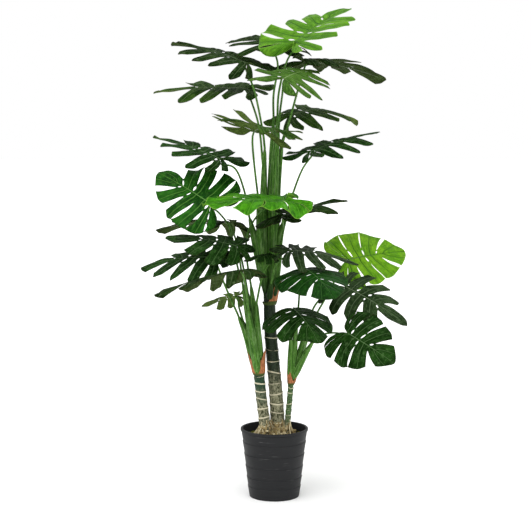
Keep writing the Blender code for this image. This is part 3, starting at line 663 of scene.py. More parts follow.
husks = {
    "left": {"foot": (-0.0478, -0.012, 0.384), "lean": (-0.1, -0.02), "radii": (0.0192, 0.028),
             "low": 0.013, "high": 0.08, "peaks": (-18, 178), "sharp": 2.0, "ripe": 0.004},
    "centre": {"foot": (-0.0145, 0.008, 0.6), "lean": (-0.02, -0.03), "radii": (0.0215, 0.04),
               "low": 0.008, "high": 0.088, "peaks": (-26,), "sharp": 2.4, "ripe": 0.01},
    "right": {"foot": (0.0515, -0.001, 0.35), "lean": (0.14, -0.02), "radii": (0.0112, 0.019),
              "low": 0.014, "high": 0.052, "peaks": (205, 20), "sharp": 1.8, "ripe": 0.004},
}
huskForm = {"across": 96, "up": 22, "wall": 0.001, "ragged": 0.16, "flare": 1.2, "pinch": 0.0022,
            "pinchHeight": 0.009, "pleats": 0.0005, "ripening": 0.006}


def huskMaterial():
    # green where it leaves the stem, then dry and orange
    made, tree = newMaterial("huskPaper")
    fibre = streakNoise(tree, coordsOf(tree, "UV"), (90.0, 5.0, 1.0), 4.0, 0.6)
    cloud = noiseValue(tree, coordsOf(tree), 60.0, 4.0)
    colour = blendColour(tree, spread(tree, fibre, 0.35, 0.65), (0.2, 0.058, 0.017), (0.56, 0.215, 0.085))
    colour = coated(tree, colour, (spread(tree, cloud, 0.48, 0.7), 0.8, (0.13, 0.075, 0.028)))
    ripe = plus(tree, attributeValue(tree, "ripe"), times(tree, minus(tree, cloud, 0.5), 0.8))
    colour = blendColour(tree, spread(tree, ripe, 0.1, 0.9), (0.045, 0.07, 0.012), colour)
    return finishMaterial(made, colour, 0.75, 0.25, (fibre, 0.6, 0.001))


def makeHusk(side, finish):
    husk = husks[side]
    footRadius, topRadius = husk["radii"]
    shape = bmesh.new()
    ripeLayer = shape.verts.layers.float.new("ripe")

    def place(u, v):
        angle = 2 * math.pi * u
        peak = max(math.cos(angle - math.radians(bearing)) for bearing in husk["peaks"])
        around = Vector((math.cos(angle) * 7, math.sin(angle) * 7, husk["foot"][2] * 9))
        ragged = 1 + huskForm["ragged"] * noise.noise(around)
        tall = (husk["low"] + (husk["high"] - husk["low"]) * max(peak, 0.0) ** husk["sharp"]) * ragged
        height = tall * v
        opened = (height / husk["high"]) ** huskForm["flare"]
        pinch = huskForm["pinch"] * max(0.0, 1 - height / huskForm["pinchHeight"])
        radius = footRadius + (topRadius - footRadius) * opened + 0.0006 - pinch
        radius += huskForm["pleats"] * math.sin(angle * 17) * v
        centre = Vector(husk["foot"]) + Vector((*husk["lean"], 1.0)) * height
        return centre + outward(angle) * radius

    shapedGrid(shape, huskForm["across"], huskForm["up"], place)
    mergeDoubles(shape, shape.verts)
    for vert in shape.verts:
        vert[ripeLayer] = (vert.co.z - husk["foot"][2] - husk["ripe"]) / huskForm["ripening"]
    addWall(newPiece(f"husk{side.title()}", shape, [finish], "husk", f"husk_{side}"), huskForm["wall"])


huskPaper = huskMaterial()
for side in husks:
    makeHusk(side, huskPaper)
print("husks done")


# leaves

# edges, slitOpen, holeWide and tipTaper: shares of half the margin; slitStart: share of the way out to it
# thickness, merge, neck and stalk: metres; outline and the other lengths: parts of the leaf's size
leafForm = {
    "outline": ((0.02, -0.05), (0.09, -0.19), (0.22, -0.27), (0.36, -0.22), (0.46, -0.07), (0.49, 0.12),
                (0.47, 0.32), (0.41, 0.52), (0.31, 0.7), (0.18, 0.87), (0.0, 1.0)),
    "edges": {5: (0.0, 0.33, 0.49, 0.65, 0.82, 1.0), 6: (0.0, 0.3, 0.44, 0.57, 0.7, 0.85, 1.0)},
    "across": 10, "inner": 9, "outer": 20, "thickness": 0.0009,
    "slitOpen": 0.0225, "openSpread": (0.6, 1.15), "slitStart": 0.3, "startSpread": (0.85, 1.2),
    "slitFlare": 0.45, "slitGape": 1.5, "ends": (0.05, 0.11), "lifts": (-1.0, 0.8),
    "holeAt": (0.42, 0.55), "holeLong": (0.2, 0.34), "holeWide": (0.008, 0.014), "holes": 0.72,
    "peak": 0.57, "pastPeak": 0.43, "lowCorner": (1.35, 1.2), "highCorner": (0.95, 1.3),
    "tipTaper": 0.038, "tipCorner": 0.08,
    "veinFirst": 0.42, "veinOver": 0.58, "veinSpread": 0.68, "veinBow": 0.14,
    "crossDrop": 0.25, "baseDroop": 0.6, "arch": 0.8, "hang": 0.04, "crumple": 0.01, "ruffle": 0.004,
    "groove": 0.01, "grooveWide": 0.02, "ribSink": 0.0055, "ribWide": 0.016, "merge": 0.00025,
    "neck": 0.016, "stalk": 0.003, "joint": 0.03, "jointSink": -0.008, "ribBelow": 0.003, "ribCells": 30,
}
# the fleck strength sets flecks in the vein colour: on looks whose vein colour is lighter than the face they
# are painted sheen, elsewhere darker mottle
looks = {
    "lime": {"face": (0.09, 0.235, 0.008), "deep": (0.045, 0.15, 0.004), "under": (0.115, 0.26, 0.02),
             "vein": (0.014, 0.07, 0.004), "rim": (0.23, 0.42, 0.075), "veins": 0.95, "fleckAndSheen": 0.12,
             "rough": 0.5, "shine": 0.08},
    "bright": {"face": (0.055, 0.245, 0.006), "deep": (0.018, 0.115, 0.002), "under": (0.06, 0.19, 0.01),
               "vein": (0.12, 0.33, 0.03), "rim": (0.26, 0.48, 0.06), "veins": 0.5, "fleckAndSheen": 0.15, "rough": 0.5,
               "shine": 0.05},
    "yellow": {"face": (0.135, 0.31, 0.006), "deep": (0.07, 0.21, 0.003), "under": (0.14, 0.28, 0.02),
               "vein": (0.014, 0.07, 0.003), "rim": (0.3, 0.46, 0.09), "veins": 0.95, "fleckAndSheen": 0.08,
               "rough": 0.5, "shine": 0.08},
    "olive": {"face": (0.052, 0.125, 0.014), "deep": (0.024, 0.074, 0.006), "under": (0.085, 0.165, 0.026),
              "vein": (0.15, 0.24, 0.07), "rim": (0.04, 0.03, 0.01), "veins": 0.5, "fleckAndSheen": 0.25, "rough": 0.56,
              "shine": 0.03},
    "fresh": {"face": (0.011, 0.086, 0.003), "deep": (0.002, 0.036, 0.001), "under": (0.035, 0.12, 0.014),
              "vein": (0.095, 0.24, 0.038), "rim": (0.012, 0.06, 0.004), "veins": 0.75, "fleckAndSheen": 0.12,
              "rough": 0.52, "shine": 0.05},
    "deep": {"face": (0.01, 0.044, 0.004), "deep": (0.003, 0.018, 0.001), "under": (0.045, 0.095, 0.016),
             "vein": (0.085, 0.165, 0.055), "rim": (0.026, 0.028, 0.009), "veins": 0.65, "fleckAndSheen": 0.45,
             "rough": 0.52, "shine": 0.02},
    "dark": {"face": (0.011, 0.03, 0.004), "deep": (0.003, 0.013, 0.001), "under": (0.044, 0.074, 0.018),
             "vein": (0.085, 0.125, 0.055), "rim": (0.034, 0.02, 0.01), "veins": 0.6, "fleckAndSheen": 0.55,
             "rough": 0.54, "shine": 0.01},
    "moss": {"face": (0.034, 0.082, 0.009), "deep": (0.01, 0.036, 0.003), "under": (0.09, 0.145, 0.028),
             "vein": (0.11, 0.165, 0.06), "rim": (0.036, 0.025, 0.01), "veins": 0.6, "fleckAndSheen": 0.4,
             "rough": 0.55, "shine": 0.02},
    "gloss": {"face": (0.005, 0.042, 0.002), "deep": (0.002, 0.022, 0.001), "under": (0.04, 0.11, 0.014),
              "vein": (0.048, 0.14, 0.028), "rim": (0.03, 0.06, 0.012), "veins": 0.6, "fleckAndSheen": 0.1,
              "rough": 0.46, "shine": 0.06},
    "grey": {"face": (0.02, 0.044, 0.012), "deep": (0.006, 0.019, 0.003), "under": (0.075, 0.125, 0.02),
             "vein": (0.095, 0.14, 0.07), "rim": (0.034, 0.03, 0.013), "veins": 0.6, "fleckAndSheen": 0.45,
             "rough": 0.5, "shine": 0.03},
}
# turn: heading from +X, pitch of the midrib and roll about it, in degrees
# form: fall of each half, droop of the midrib in degrees, wave of the lobes in sizes
# cut: lobes on each side, how much the slits widen, how pointed the lobes are; shut: slits that close again
# broad: radius of the stalk base at its foot; slim: share of the usual width of the slits
leaves = {
    1: {"look": "lime", "slot": "leaf_lime", "size": 0.275, "turn": (45, 33, 8), "form": (-0.22, 18, 0.05),
        "cut": (6, 0.8, 1.8), "broad": 0.012, "shut": ((1, 2), ()),
        "sheath": ((-0.012, 0, 0.61), (-0.012, 0, 0.8), (-0.004, 0, 1), (0.008, 0, 1.16)),
        "stalk": ((0.013, -0.004, 1.25), (0.036, -0.03, 1.34), (0.063, -0.05, 1.4))},
    2: {"look": "dark", "slot": "leaf_dark", "size": 0.28, "turn": (150, 22, -5), "form": (-0.05, 20, 0.07),
        "cut": (6, 0.8, 2), "broad": 0.011,
        "sheath": ((-0.026, 0.002, 0.62), (-0.034, 0, 0.85), (-0.032, -0.003, 1), (-0.03, -0.006, 1.076)),
        "stalk": ((-0.037, -0.012, 1.139), (-0.06, -0.02, 1.25), (-0.088, 0.002, 1.341))},
    3: {"look": "dark", "slot": "leaf_dark", "size": 0.27, "turn": (108, 17, 2), "form": (0.04, 20, 0.06),
        "cut": (6, 0.8, 2), "broad": 0.011,
        "sheath": ((-0.018, 0.02, 0.62), (-0.014, 0.024, 0.85), (-0.008, 0.026, 1.05), (-0.003, 0.022, 1.16)),
        "stalk": ((-0.003, 0.01, 1.243), (0.01, 0.024, 1.33), (-0.003, 0.06, 1.4))},
    4: {"look": "dark", "slot": "leaf_dark", "size": 0.29, "turn": (27, -1, -6), "form": (-0.05, 20, 0.08),
        "cut": (6, 0.8, 2), "broad": 0.012,
        "sheath": ((-0.002, 0.006, 0.62), (0.004, 0.006, 0.85), (0.01, 0.006, 0.955), (0.023, 0.004, 1.088)),
        "stalk": ((0.05, 0.002, 1.182), (0.075, 0.01, 1.272), (0.096, 0.022, 1.346))},
    5: {"look": "olive", "slot": "leaf_mid", "size": 0.24, "turn": (60, 16, 18), "form": (0.05, 20, 0.06),
        "cut": (6, 0.8, 2), "broad": 0.011,
        "sheath": ((-0.006, -0.006, 0.62), (-0.003, -0.012, 0.85), (0.004, -0.014, 1.03),
                  (0.012, -0.018, 1.13)),
        "stalk": ((0.016, -0.05, 1.19), (0.022, -0.13, 1.242), (0.027, -0.205, 1.287))},
    6: {"look": "moss", "slot": "leaf_mid", "size": 0.3, "turn": (172, 4, -12), "form": (-0.06, 14, 0.06),
        "cut": (6, 0.4, 2), "broad": 0.011,
        "sheath": ((-0.024, 0.022, 0.62), (-0.03, 0.028, 0.85), (-0.034, 0.034, 1)),
        "stalk": ((-0.046, 0.055, 1.137), (-0.068, 0.095, 1.215), (-0.088, 0.135, 1.267))},
    7: {"look": "moss", "slot": "leaf_mid", "size": 0.285, "turn": (-78, 10, -13), "form": (-0.2, 20, 0.1),
        "cut": (6, 0.8, 2), "broad": 0.012,
        "sheath": ((-0.028, -0.01, 0.64), (-0.044, -0.022, 0.8), (-0.05, -0.036, 0.93)),
        "stalk": ((-0.06, -0.058, 1.02), (-0.066, -0.09, 1.09), (-0.062, -0.118, 1.134))},
    8: {"look": "moss", "slot": "leaf_dark", "size": 0.26, "turn": (24, 22, 12), "form": (0, 60, 0.06),
        "cut": (6, 0.6, 2), "broad": 0.011,
        "sheath": ((-0.004, 0.024, 0.63), (0.004, 0.03, 0.85), (0.012, 0.035, 1.03)),
        "stalk": ((0.026, 0.062, 1.11), (0.053, 0.11, 1.182))},
    9: {"look": "deep", "slot": "leaf_dark", "size": 0.255, "turn": (28, 20, 2), "form": (-0.05, 14, 0.07),
        "cut": (6, 0.8, 2), "broad": 0.012, "sheath": ((0, -0.004, 0.65), (0.014, 0, 0.8), (0.036, 0, 0.875)),
        "stalk": ((0.057, 0, 0.945), (0.084, 0, 1.015), (0.111, -0.01, 1.073))},
    10: {"look": "deep", "slot": "leaf_dark", "size": 0.25, "turn": (152, 22, -8), "form": (-0.05, 16, 0.06),
        "cut": (6, 0.6, 2), "broad": 0.012,
        "sheath": ((-0.03, 0, 0.65), (-0.06, -0.008, 0.8), (-0.076, -0.01, 0.868)),
        "stalk": ((-0.093, -0.018, 0.955), (-0.12, -0.022, 1.02), (-0.166, -0.03, 1.051))},
    11: {"look": "fresh", "slot": "leaf_mid", "size": 0.235, "turn": (145, 27, -42), "form": (-0.1, 14, 0.05),
        "cut": (6, 0.3, 1.2), "broad": 0.014, "shut": ((1, 2, 3, 5), (2, 4)),
        "sheath": ((-0.05, -0.004, 0.393), (-0.062, 0, 0.5), (-0.09, 0, 0.64)),
        "stalk": ((-0.112, 0.006, 0.71), (-0.124, 0.014, 0.78), (-0.14, -0.02, 0.845),
                  (-0.165, -0.065, 0.885), (-0.192, -0.096, 0.918))},
    12: {"look": "bright", "slot": "leaf_lime", "size": 0.25, "turn": (-160, 5, -8), "form": (-0.1, 16, 0.12),
        "cut": (5, 0.4, 1.5), "broad": 0.014, "shut": ((1, 2, 3, 4), (1, 2, 3, 4)), "slim": 0.3,
        "ruffle": 0.024, "sheath": ((-0.046, -0.018, 0.393), (-0.055, -0.02, 0.52), (-0.072, -0.016, 0.66)),
        "stalk": ((-0.084, -0.014, 0.74), (-0.084, -0.014, 0.815), (-0.056, -0.072, 0.875),
                  (-0.02, -0.128, 0.908), (0.026, -0.162, 0.934))},
    13: {"look": "dark", "slot": "leaf_dark", "size": 0.235, "turn": (30, 17, -2), "form": (-0.05, 16, 0.09),
        "cut": (5, 0.8, 2), "broad": 0.01,
        "sheath": ((0, -0.012, 0.63), (0.012, -0.02, 0.74), (0.02, -0.026, 0.79)),
        "stalk": ((0.026, -0.066, 0.838), (0.022, -0.138, 0.884))},
    14: {"look": "deep", "slot": "leaf_dark", "size": 0.215, "turn": (175, 14, -18), "form": (0.05, 18, 0.07),
        "cut": (5, 0.2, 1), "broad": 0.013,
        "sheath": ((-0.054, -0.014, 0.393), (-0.072, -0.028, 0.52), (-0.092, -0.046, 0.62)),
        "stalk": ((-0.1, -0.05, 0.7), (-0.108, -0.08, 0.762), (-0.117, -0.12, 0.795))},
    15: {"look": "deep", "slot": "leaf_dark", "size": 0.26, "turn": (158, 0, -18), "form": (0, 20, 0.06),
        "cut": (6, 0.6, 1.8), "broad": 0.013,
        "sheath": ((-0.056, -0.012, 0.393), (-0.08, -0.012, 0.49), (-0.11, -0.015, 0.565)),
        "stalk": ((-0.15, -0.03, 0.66), (-0.168, -0.048, 0.712), (-0.182, -0.09, 0.757))},
    16: {"look": "moss", "slot": "leaf_mid", "size": 0.115, "turn": (175, -8, 30), "form": (0.05, 20, 0.06),
        "cut": (5, 0.3, 1.2), "broad": 0.011,
        "sheath": ((-0.056, -0.004, 0.393), (-0.078, 0.004, 0.49), (-0.096, 0.012, 0.545)),
        "stalk": ((-0.11, 0.024, 0.59), (-0.117, 0.035, 0.623))},
    17: {"look": "yellow", "slot": "leaf_lime", "size": 0.225, "turn": (28, 8, 44), "form": (-0.05, 12, 0.04),
        "cut": (5, 0, 0.6), "broad": 0.01, "shut": ((2, 3, 4), (1, 4)), "slim": 0.5,
        "sheath": ((0.057, 0.003, 0.368), (0.086, 0.02, 0.455), (0.11, 0.036, 0.51)),
        "stalk": ((0.13, 0.052, 0.56), (0.168, 0.094, 0.62), (0.208, 0.136, 0.69), (0.236, 0.13, 0.728))},
    18: {"look": "grey", "slot": "leaf_dark", "size": 0.215, "turn": (8, -3, 14), "form": (0.05, 20, 0.06),
        "cut": (6, 0.5, 1.5), "broad": 0.009, "sheath": ((-0.016, -0.018, 0.62), (-0.01, -0.034, 0.67)),
        "stalk": ((0.006, -0.072, 0.735), (0.048, -0.128, 0.781))},
    19: {"look": "gloss", "slot": "leaf_mid", "size": 0.215, "turn": (-70, -5, 8), "form": (0.1, 26, 0.06),
        "cut": (5, 0, 0.8), "broad": 0.01, "shut": ((1, 2, 3, 4), (1, 2, 3, 4)), "slim": 0.5,
        "sheath": ((0.053, -0.004, 0.368), (0.061, -0.012, 0.46), (0.068, -0.022, 0.54)),
        "stalk": ((0.073, -0.045, 0.6), (0.078, -0.1, 0.68), (0.092, -0.155, 0.728))},
    20: {"look": "grey", "slot": "leaf_dark", "size": 0.235, "turn": (-35, -18, 24), "form": (0, 20, 0.05),
        "cut": (6, 0.5, 1.8), "broad": 0.01,
        "sheath": ((0.056, 0, 0.368), (0.082, -0.004, 0.46), (0.1, -0.008, 0.53)),
        "stalk": ((0.125, -0.012, 0.6), (0.17, -0.012, 0.642), (0.218, -0.012, 0.658))},
    21: {"look": "deep", "slot": "leaf_mid", "size": 0.195, "turn": (-50, -16, 44), "form": (0, 14, 0.04),
        "cut": (5, 0.4, 0.8), "broad": 0.01, "shut": ((1, 2), (3,)), "slim": 0.6,
        "sheath": ((0.057, -0.004, 0.368), (0.09, -0.018, 0.44), (0.118, -0.032, 0.49)),
        "stalk": ((0.148, -0.08, 0.52), (0.182, -0.128, 0.532), (0.214, -0.176, 0.54))},
    22: {"look": "deep", "slot": "leaf_mid", "size": 0.21, "turn": (-70, -8, 6), "form": (0.25, 28, 0.06),
        "cut": (5, 0, 0.8), "broad": 0.01, "shut": ((1, 2, 3), (1, 2, 4)), "slim": 0.45,
        "sheath": ((0.05, -0.004, 0.368), (0.051, -0.014, 0.445), (0.05, -0.03, 0.5)),
        "stalk": ((0.05, -0.068, 0.57), (0.055, -0.115, 0.605))},
    23: {"look": "deep", "slot": "leaf_dark", "size": 0.09, "turn": (205, 0, -12), "form": (0.05, 20, 0.06),
        "cut": (5, 0.2, 1), "broad": 0.011,
        "sheath": ((-0.046, -0.014, 0.393), (-0.05, -0.034, 0.5), (-0.054, -0.058, 0.61)),
        "stalk": ((-0.036, -0.066, 0.7), (-0.012, -0.085, 0.762))},
    24: {"look": "dark", "slot": "leaf_dark", "size": 0.25, "turn": (165, 3, 14), "form": (0.05, 20, 0.07),
        "cut": (6, 0.5, 1.6), "broad": 0.013,
        "sheath": ((-0.05, 0, 0.393), (-0.062, 0.018, 0.52), (-0.082, 0.036, 0.63)),
        "stalk": ((-0.103, 0.058, 0.74), (-0.135, 0.08, 0.85))},
    25: {"look": "dark", "slot": "leaf_dark", "size": 0.265, "turn": (178, -8, 6), "form": (0.08, 18, 0.07),
        "cut": (6, 0.5, 1.6), "broad": 0.012,
        "sheath": ((-0.052, -0.026, 0.393), (-0.066, -0.064, 0.5), (-0.078, -0.11, 0.6)),
        "stalk": ((-0.086, -0.168, 0.675), (-0.099, -0.245, 0.736))},
}


def openingAt(leaf, slit, hole, inner, free):
    # how far a lobe's edge stands back from the middle of its slit or small hole, as a share of the margin
    if free > 0:
        wide = free**leafForm["slitFlare"] + leaf["cut"][1] * free**leafForm["slitGape"]
        return slit[1] * wide * (1 - slit[2] * free**3)
    if hole:
        centre, length, width = hole
        return width * math.sqrt(max(0.0, 1 - ((inner - centre) / length) ** 2))
    return 0.0


def outlinePoint(share):
    outline = leafForm["outline"]
    place = share * (len(outline) - 1)
    index = min(int(place), len(outline) - 2)
    b, c = Vector(outline[index]), Vector(outline[index + 1])
    a = Vector(outline[index - 1]) if index else 2 * b - c
    d = Vector(outline[index + 2]) if index + 2 < len(outline) else Vector((-outline[-2][0], outline[-2][1]))
    return curvePoint(a, b, c, d, place - index)


def leafDraws(number, leaf):
    # slits, lobe ends and lobe lifts of both halves, then the holes
    chance = random.Random(number)
    drawn = {}
    lobes, wave = leaf["cut"][0], leaf["form"][2]
    for side, shut in zip((-1, 1), leaf.get("shut", ((), ()))):
        slits = [(leafForm["slitStart"] * chance.uniform(*leafForm["startSpread"]),
                  leafForm["slitOpen"] * chance.uniform(*leafForm["openSpread"]) * leaf.get("slim", 1.0),
                  1.0 if slit in shut else 0.0) for slit in range(lobes + 1)]
        slits[-1] = (leafForm["slitStart"], 0.0, 0.0)
        ends = [chance.uniform(*leafForm["ends"]) for _ in range(lobes)]
        lifts = [wave * chance.uniform(*leafForm["lifts"]) for _ in range(lobes)]
        drawn[side] = {"slits": slits, "ends": ends, "lifts": lifts}
    for side in (-1, 1):
        holes = [None]
        for _ in range(lobes - 1):
            hole = tuple(chance.uniform(*leafForm[title]) for title in ("holeAt", "holeLong", "holeWide"))
            holes.append(hole if chance.random() < leafForm["holes"] else None)
        drawn[side]["holes"] = [*holes, None]
    return drawn


def flatPoint(leaf, drawn, side, lobe, across, row):
    # row 1 is at the slits' inner ends and row 3 at the margin
    lobes, _, point = leaf["cut"]
    edges = leafForm["edges"][lobes]
    half = drawn[side]
    isTip = lobe == lobes - 1
    slitLow, slitHigh = half["slits"][lobe], half["slits"][lobe + 1]
    start = slitLow[0] + (slitHigh[0] - slitLow[0]) * across
    inner = min(row, 1.0)
    free = max(0.0, (row - 1) / 2)
    low, high = edges[lobe], edges[lobe + 1]
    if lobe > 0:
        low += openingAt(leaf, slitLow, half["holes"][lobe], inner, free)
    if isTip:
        low += leafForm["tipTaper"] * point * free
        rounding = leafForm["tipCorner"] * point * (1 - across) ** 1.5 * (1 - slitLow[2])
    else:
        high -= openingAt(leaf, slitHigh, half["holes"][lobe + 1], inner, free)
        amount, power = leafForm["lowCorner"]
        corner = amount * max(0.0, 1 - across / leafForm["peak"]) ** power * (1 - slitLow[2])
        amount, power = leafForm["highCorner"]
        beyond = max(0.0, (across - leafForm["peak"]) / leafForm["pastPeak"])
        corner += amount * beyond**power * (1 - slitHigh[2])
        rounding = point * half["ends"][lobe] * corner if lobe > 0 else 0.0
    share = low + (high - low) * across
    reach = start * inner + (1 - start) * free * (1 - rounding)
    fromFirst = max(0.0, (share - leafForm["veinFirst"]) / leafForm["veinOver"])
    root = Vector((0.0, leafForm["veinSpread"] * fromFirst))
    edge = outlinePoint(share)
    bend = (root + edge) / 2 - Vector((0.0, leafForm["veinBow"] * edge.x))
    place = root * (1 - reach) ** 2 + bend * 2 * reach * (1 - reach) + edge * reach**2
    return Vector((side * place.x, place.y)), reach, free


def lobeLift(half, lobe, across):
    # lobes that are joined at a shut slit meet there at one height
    lifts, slits = half["lifts"], half["slits"]
    step = lobe - 1 if across < 0.5 else lobe + 1
    if not slits[max(lobe, step)][2]:
        return lifts[lobe]
    near = abs(2 * across - 1)
    return lifts[lobe] + (lifts[step] - lifts[lobe]) / 2 * near * near * (3 - 2 * near)


def formedPoint(leaf, flat, lift):
    # each half falls from the midrib, and the midrib droops along a circle
    size = leaf["size"]
    fold, droop, _ = leaf["form"]
    x, y = flat * size
    z = -fold * abs(x) - leafForm["crossDrop"] * x * x / size + lift * size
    radius = size / math.radians(droop)
    bend = y / radius if y > 0 else leafForm["baseDroop"] * y / radius
    if y <= 0:
        radius /= leafForm["baseDroop"]
    return Vector((x, (radius + z) * math.sin(bend), (radius + z) * math.cos(bend) - radius))


def leafFrame(leaf):
    heading, pitch, roll = (math.radians(angle) for angle in leaf["turn"])
    turn = Matrix.Rotation(heading - math.pi / 2, 4, "Z") @ Matrix.Rotation(pitch, 4, "X")
    return Matrix.Translation(leaf["stalk"][-1]) @ turn @ Matrix.Rotation(roll, 4, "Y")


def ribSink(along):
    return leafForm["ribSink"] * (1 - 0.7 * along)


def bladeLift(number, leaf, half, side, lobe, across, flat, reach, free, away):
    # height over the flat leaf: lobes, folds at the veins, crumples, hanging ends and ruffles
    lobes, wave = leaf["cut"][0], leaf["form"][2]
    isTip = lobe == lobes - 1
    arch = math.sin(math.pi * across) - 0.5 if 0 < lobe and not isTip else 0.0
    arch *= 0.5 * (1 - 0.7 * max(slit[2] for slit in half["slits"][lobe:lobe + 2]))
    lift = lobeLift(half, lobe, across) * free**1.5 + wave * leafForm["arch"] * arch * free
    if isTip:
        lift *= 1 - across
    fold = math.exp(-(away / leafForm["grooveWide"]) ** 2)
    lift -= leafForm["groove"] * fold * min(1.0, reach * 6) * (1 - 0.6 * reach)
    lift -= ribSink(max(flat.y, 0.0)) * math.exp(-(flat.x / leafForm["ribWide"]) ** 2)
    crumple = noise.noise(Vector((flat.x * 7, flat.y * 7, number * 3.7)))
    lift += leafForm["crumple"] * crumple * min(1.0, 3 * reach)
    if not isTip:
        lift -= leafForm["hang"] * free**3 * math.sin(math.pi * across)
    ruffle = leaf.get("ruffle", leafForm["ruffle"])
    return lift + ruffle * math.sin(7.5 * (lobe + across) + 2 * side + number) * reach**3


def makeBlade(number, leaf, face, under):
    drawn = leafDraws(number, leaf)
    place = leafFrame(leaf)
    lobes = leaf["cut"][0]
    rows = leafForm["inner"] + leafForm["outer"]
    shape = bmesh.new()
    uvLayer = shape.loops.layers.uv.verify()
    veinLayer, reachLayer, edgeLayer = (shape.verts.layers.float.new(title)
                                        for title in ("veinAway", "reach", "edgeAway"))

    def flatAt(side, lobe, across, row):
        return flatPoint(leaf, drawn, side, lobe, across, row)[0]

    for side, lobe in ((side, lobe) for side in (-1, 1) for lobe in range(lobes)):
        made = bmesh.ops.create_grid(shape, x_segments=leafForm["across"], y_segments=rows, size=0.5)["verts"]
        flats = {}
        for vert in made:
            across = vert.co.x + 0.5
            step = (vert.co.y + 0.5) * rows - leafForm["inner"]
            row = 1 + step / leafForm["inner"] if step <= 0 else 1 + 2 * (step / leafForm["outer"]) ** 1.5
            flat, reach, free = flatPoint(leaf, drawn, side, lobe, across, row)
            away = (flat - flatAt(side, lobe, 0.5, row)).length
            edges = [(flatAt(side, lobe, across, 3.0) - flat).length]
            if free > 0 and lobe > 0:
                edges.append((flat - flatAt(side, lobe, 0.0, row)).length)
            if free > 0 and lobe < lobes - 1:
                edges.append((flat - flatAt(side, lobe, 1.0, row)).length)
            lift = bladeLift(number, leaf, drawn[side], side, lobe, across, flat, reach, free, away)
            vert.co = place @ formedPoint(leaf, flat, lift)
            vert[veinLayer] = away
            vert[reachLayer] = reach
            vert[edgeLayer] = min(edges)
            flats[vert] = flat
        for cell in {cell for vert in made for cell in vert.link_faces}:
            cell.smooth = True
            for loop in cell.loops:
                loop[uvLayer].uv = flats[loop.vert]
    mergeDoubles(shape, shape.verts, leafForm["merge"])
    up = place.to_3x3() @ Vector((0, 0, 1))
    piece = newPiece(f"blade{number:02d}", shape, [face, under], leaf["slot"], f"leaf_{number:02d}", up=up)
    addWall(piece, leafForm["thickness"], 1)


def makeStalk(number, leaf, green, rib):
    # from inside the sheath up to the joint, then on as the midrib to the tip
    place = leafFrame(leaf)
    neck, thin = leafForm["neck"], leafForm["stalk"]
    top, before = Vector(leaf["sheath"][-1]), Vector(leaf["sheath"][-2])
    along = (top - before).normalized()
    below = place @ Vector((0.0, -0.25 * neck, -neck))
    route = [top - along * 0.012, *smoothRoute([top + along * 0.006, *leaf["stalk"][:-1], below], 7)]
    joint = place @ formedPoint(leaf, Vector((0.0, leafForm["joint"])), leafForm["jointSink"])
    back = place.to_3x3() @ Vector((0, -1, 0.2))
    elbow = route[-1].lerp(joint, 0.5) + (joint - route[-1]).length * 0.12 * back
    route += smoothRoute([route[-1], elbow, joint], 4)[1:]
    shape = bmesh.new()

    def radiusAt(share, angle):
        return thin * (1.08 - 0.26 * share) * (1 + 0.05 * math.cos(2 * angle))

    addTube(shape, route, radiusAt, 12)
    ribRoute = []
    for step in range(leafForm["ribCells"]):
        y = step / leafForm["ribCells"]
        ribRoute.append(place @ formedPoint(leaf, Vector((0.0, y)), -ribSink(y) - leafForm["ribBelow"]))
    ribThick = 0.0075 * leaf["size"] + 0.0003
    addTube(shape, ribRoute, lambda share, angle: ribThick * (1 - 0.78 * share), 8, 1)
    newPiece(f"stalk{number:02d}", shape, [green, rib], "stalk_green", f"leaf_{number:02d}")


# leaf finish

def leafMarks():
    # masks from the leaf's own layers: distance to the vein, reach towards the margin, distance to the edge
    group = bpy.data.node_groups.new("leafMarks", "ShaderNodeTree")
    titles = ("veins", "fine", "rim", "brushAndSheen", "grooveShade", "height")
    for title in titles:
        group.interface.new_socket(title, in_out="OUTPUT", socket_type="NodeSocketFloat")
    away, reach, edge = (attributeValue(group, title) for title in ("veinAway", "reach", "edgeAway"))
    uv = coordsOf(group, "UV")
    flatX, flatY, _ = splitVector(group, uv)

    def lineMask(distance, width):
        return calc(group, "SUBTRACT", 1.0, calc(group, "DIVIDE", distance, width), clamp=True)

    lobeVein = lineMask(away, calc(group, "MULTIPLY_ADD", reach, -0.007, 0.011))
    midrib = lineMask(calc(group, "ABSOLUTE", flatX), calc(group, "MULTIPLY_ADD", flatY, -0.008, 0.0125))
    veins = calc(group, "MAXIMUM", lobeVein, midrib)
    wobble = streakNoise(group, uv, (9.0, 9.0, 9.0), 2.0)
    ladder = plus(group, times(group, reach, 17.0), times(group, away, -42.0))
    ladder = plus(group, ladder, times(group, wobble, 1.6))
    saw = calc(group, "ABSOLUTE", minus(group, calc(group, "FRACT", ladder), 0.5))
    fine = times(group, spread(group, saw, 0.0, 0.13, 1.0, 0.0), spread(group, reach, 0.04, 0.2))
    fine = times(group, fine, spread(group, edge, 0.004, 0.03))
    rim = spread(group, edge, 0.002, 0.012, 1.0, 0.0)
    along = group.nodes.new("ShaderNodeCombineXYZ")
    for socket, value, scale in zip(along.inputs, (reach, away, flatY), (6.0, 44.0, 10.0)):
        group.links.new(times(group, value, scale), socket)
    # brushed streaks along the lobes; the colour uses the lighter streaks as painted sheen and the darker ones
    # as mottle, and the bump uses them too
    brushAndSheen = noiseValue(group, along.outputs[0], 1.0, 5.0, 0.62)
    # painted shade in the groove along each lobe's vein, strongest at the vein and gone 5 cm from it
    grooveShade = spread(group, away, 0.004, 0.05, 1.0, 0.0)
    height = minus(group, times(group, spread(group, away, 0.0, 0.03), 0.8), times(group, veins, 0.8))
    height = minus(group, height, times(group, fine, 0.25))
    height = plus(group, height, times(group, brushAndSheen, 0.5))
    made = group.nodes.new("NodeGroupOutput")
    for socket, value in zip(made.inputs, (veins, fine, rim, brushAndSheen, grooveShade, height)):
        group.links.new(value, socket)
    return group


marksGroup = leafMarks()


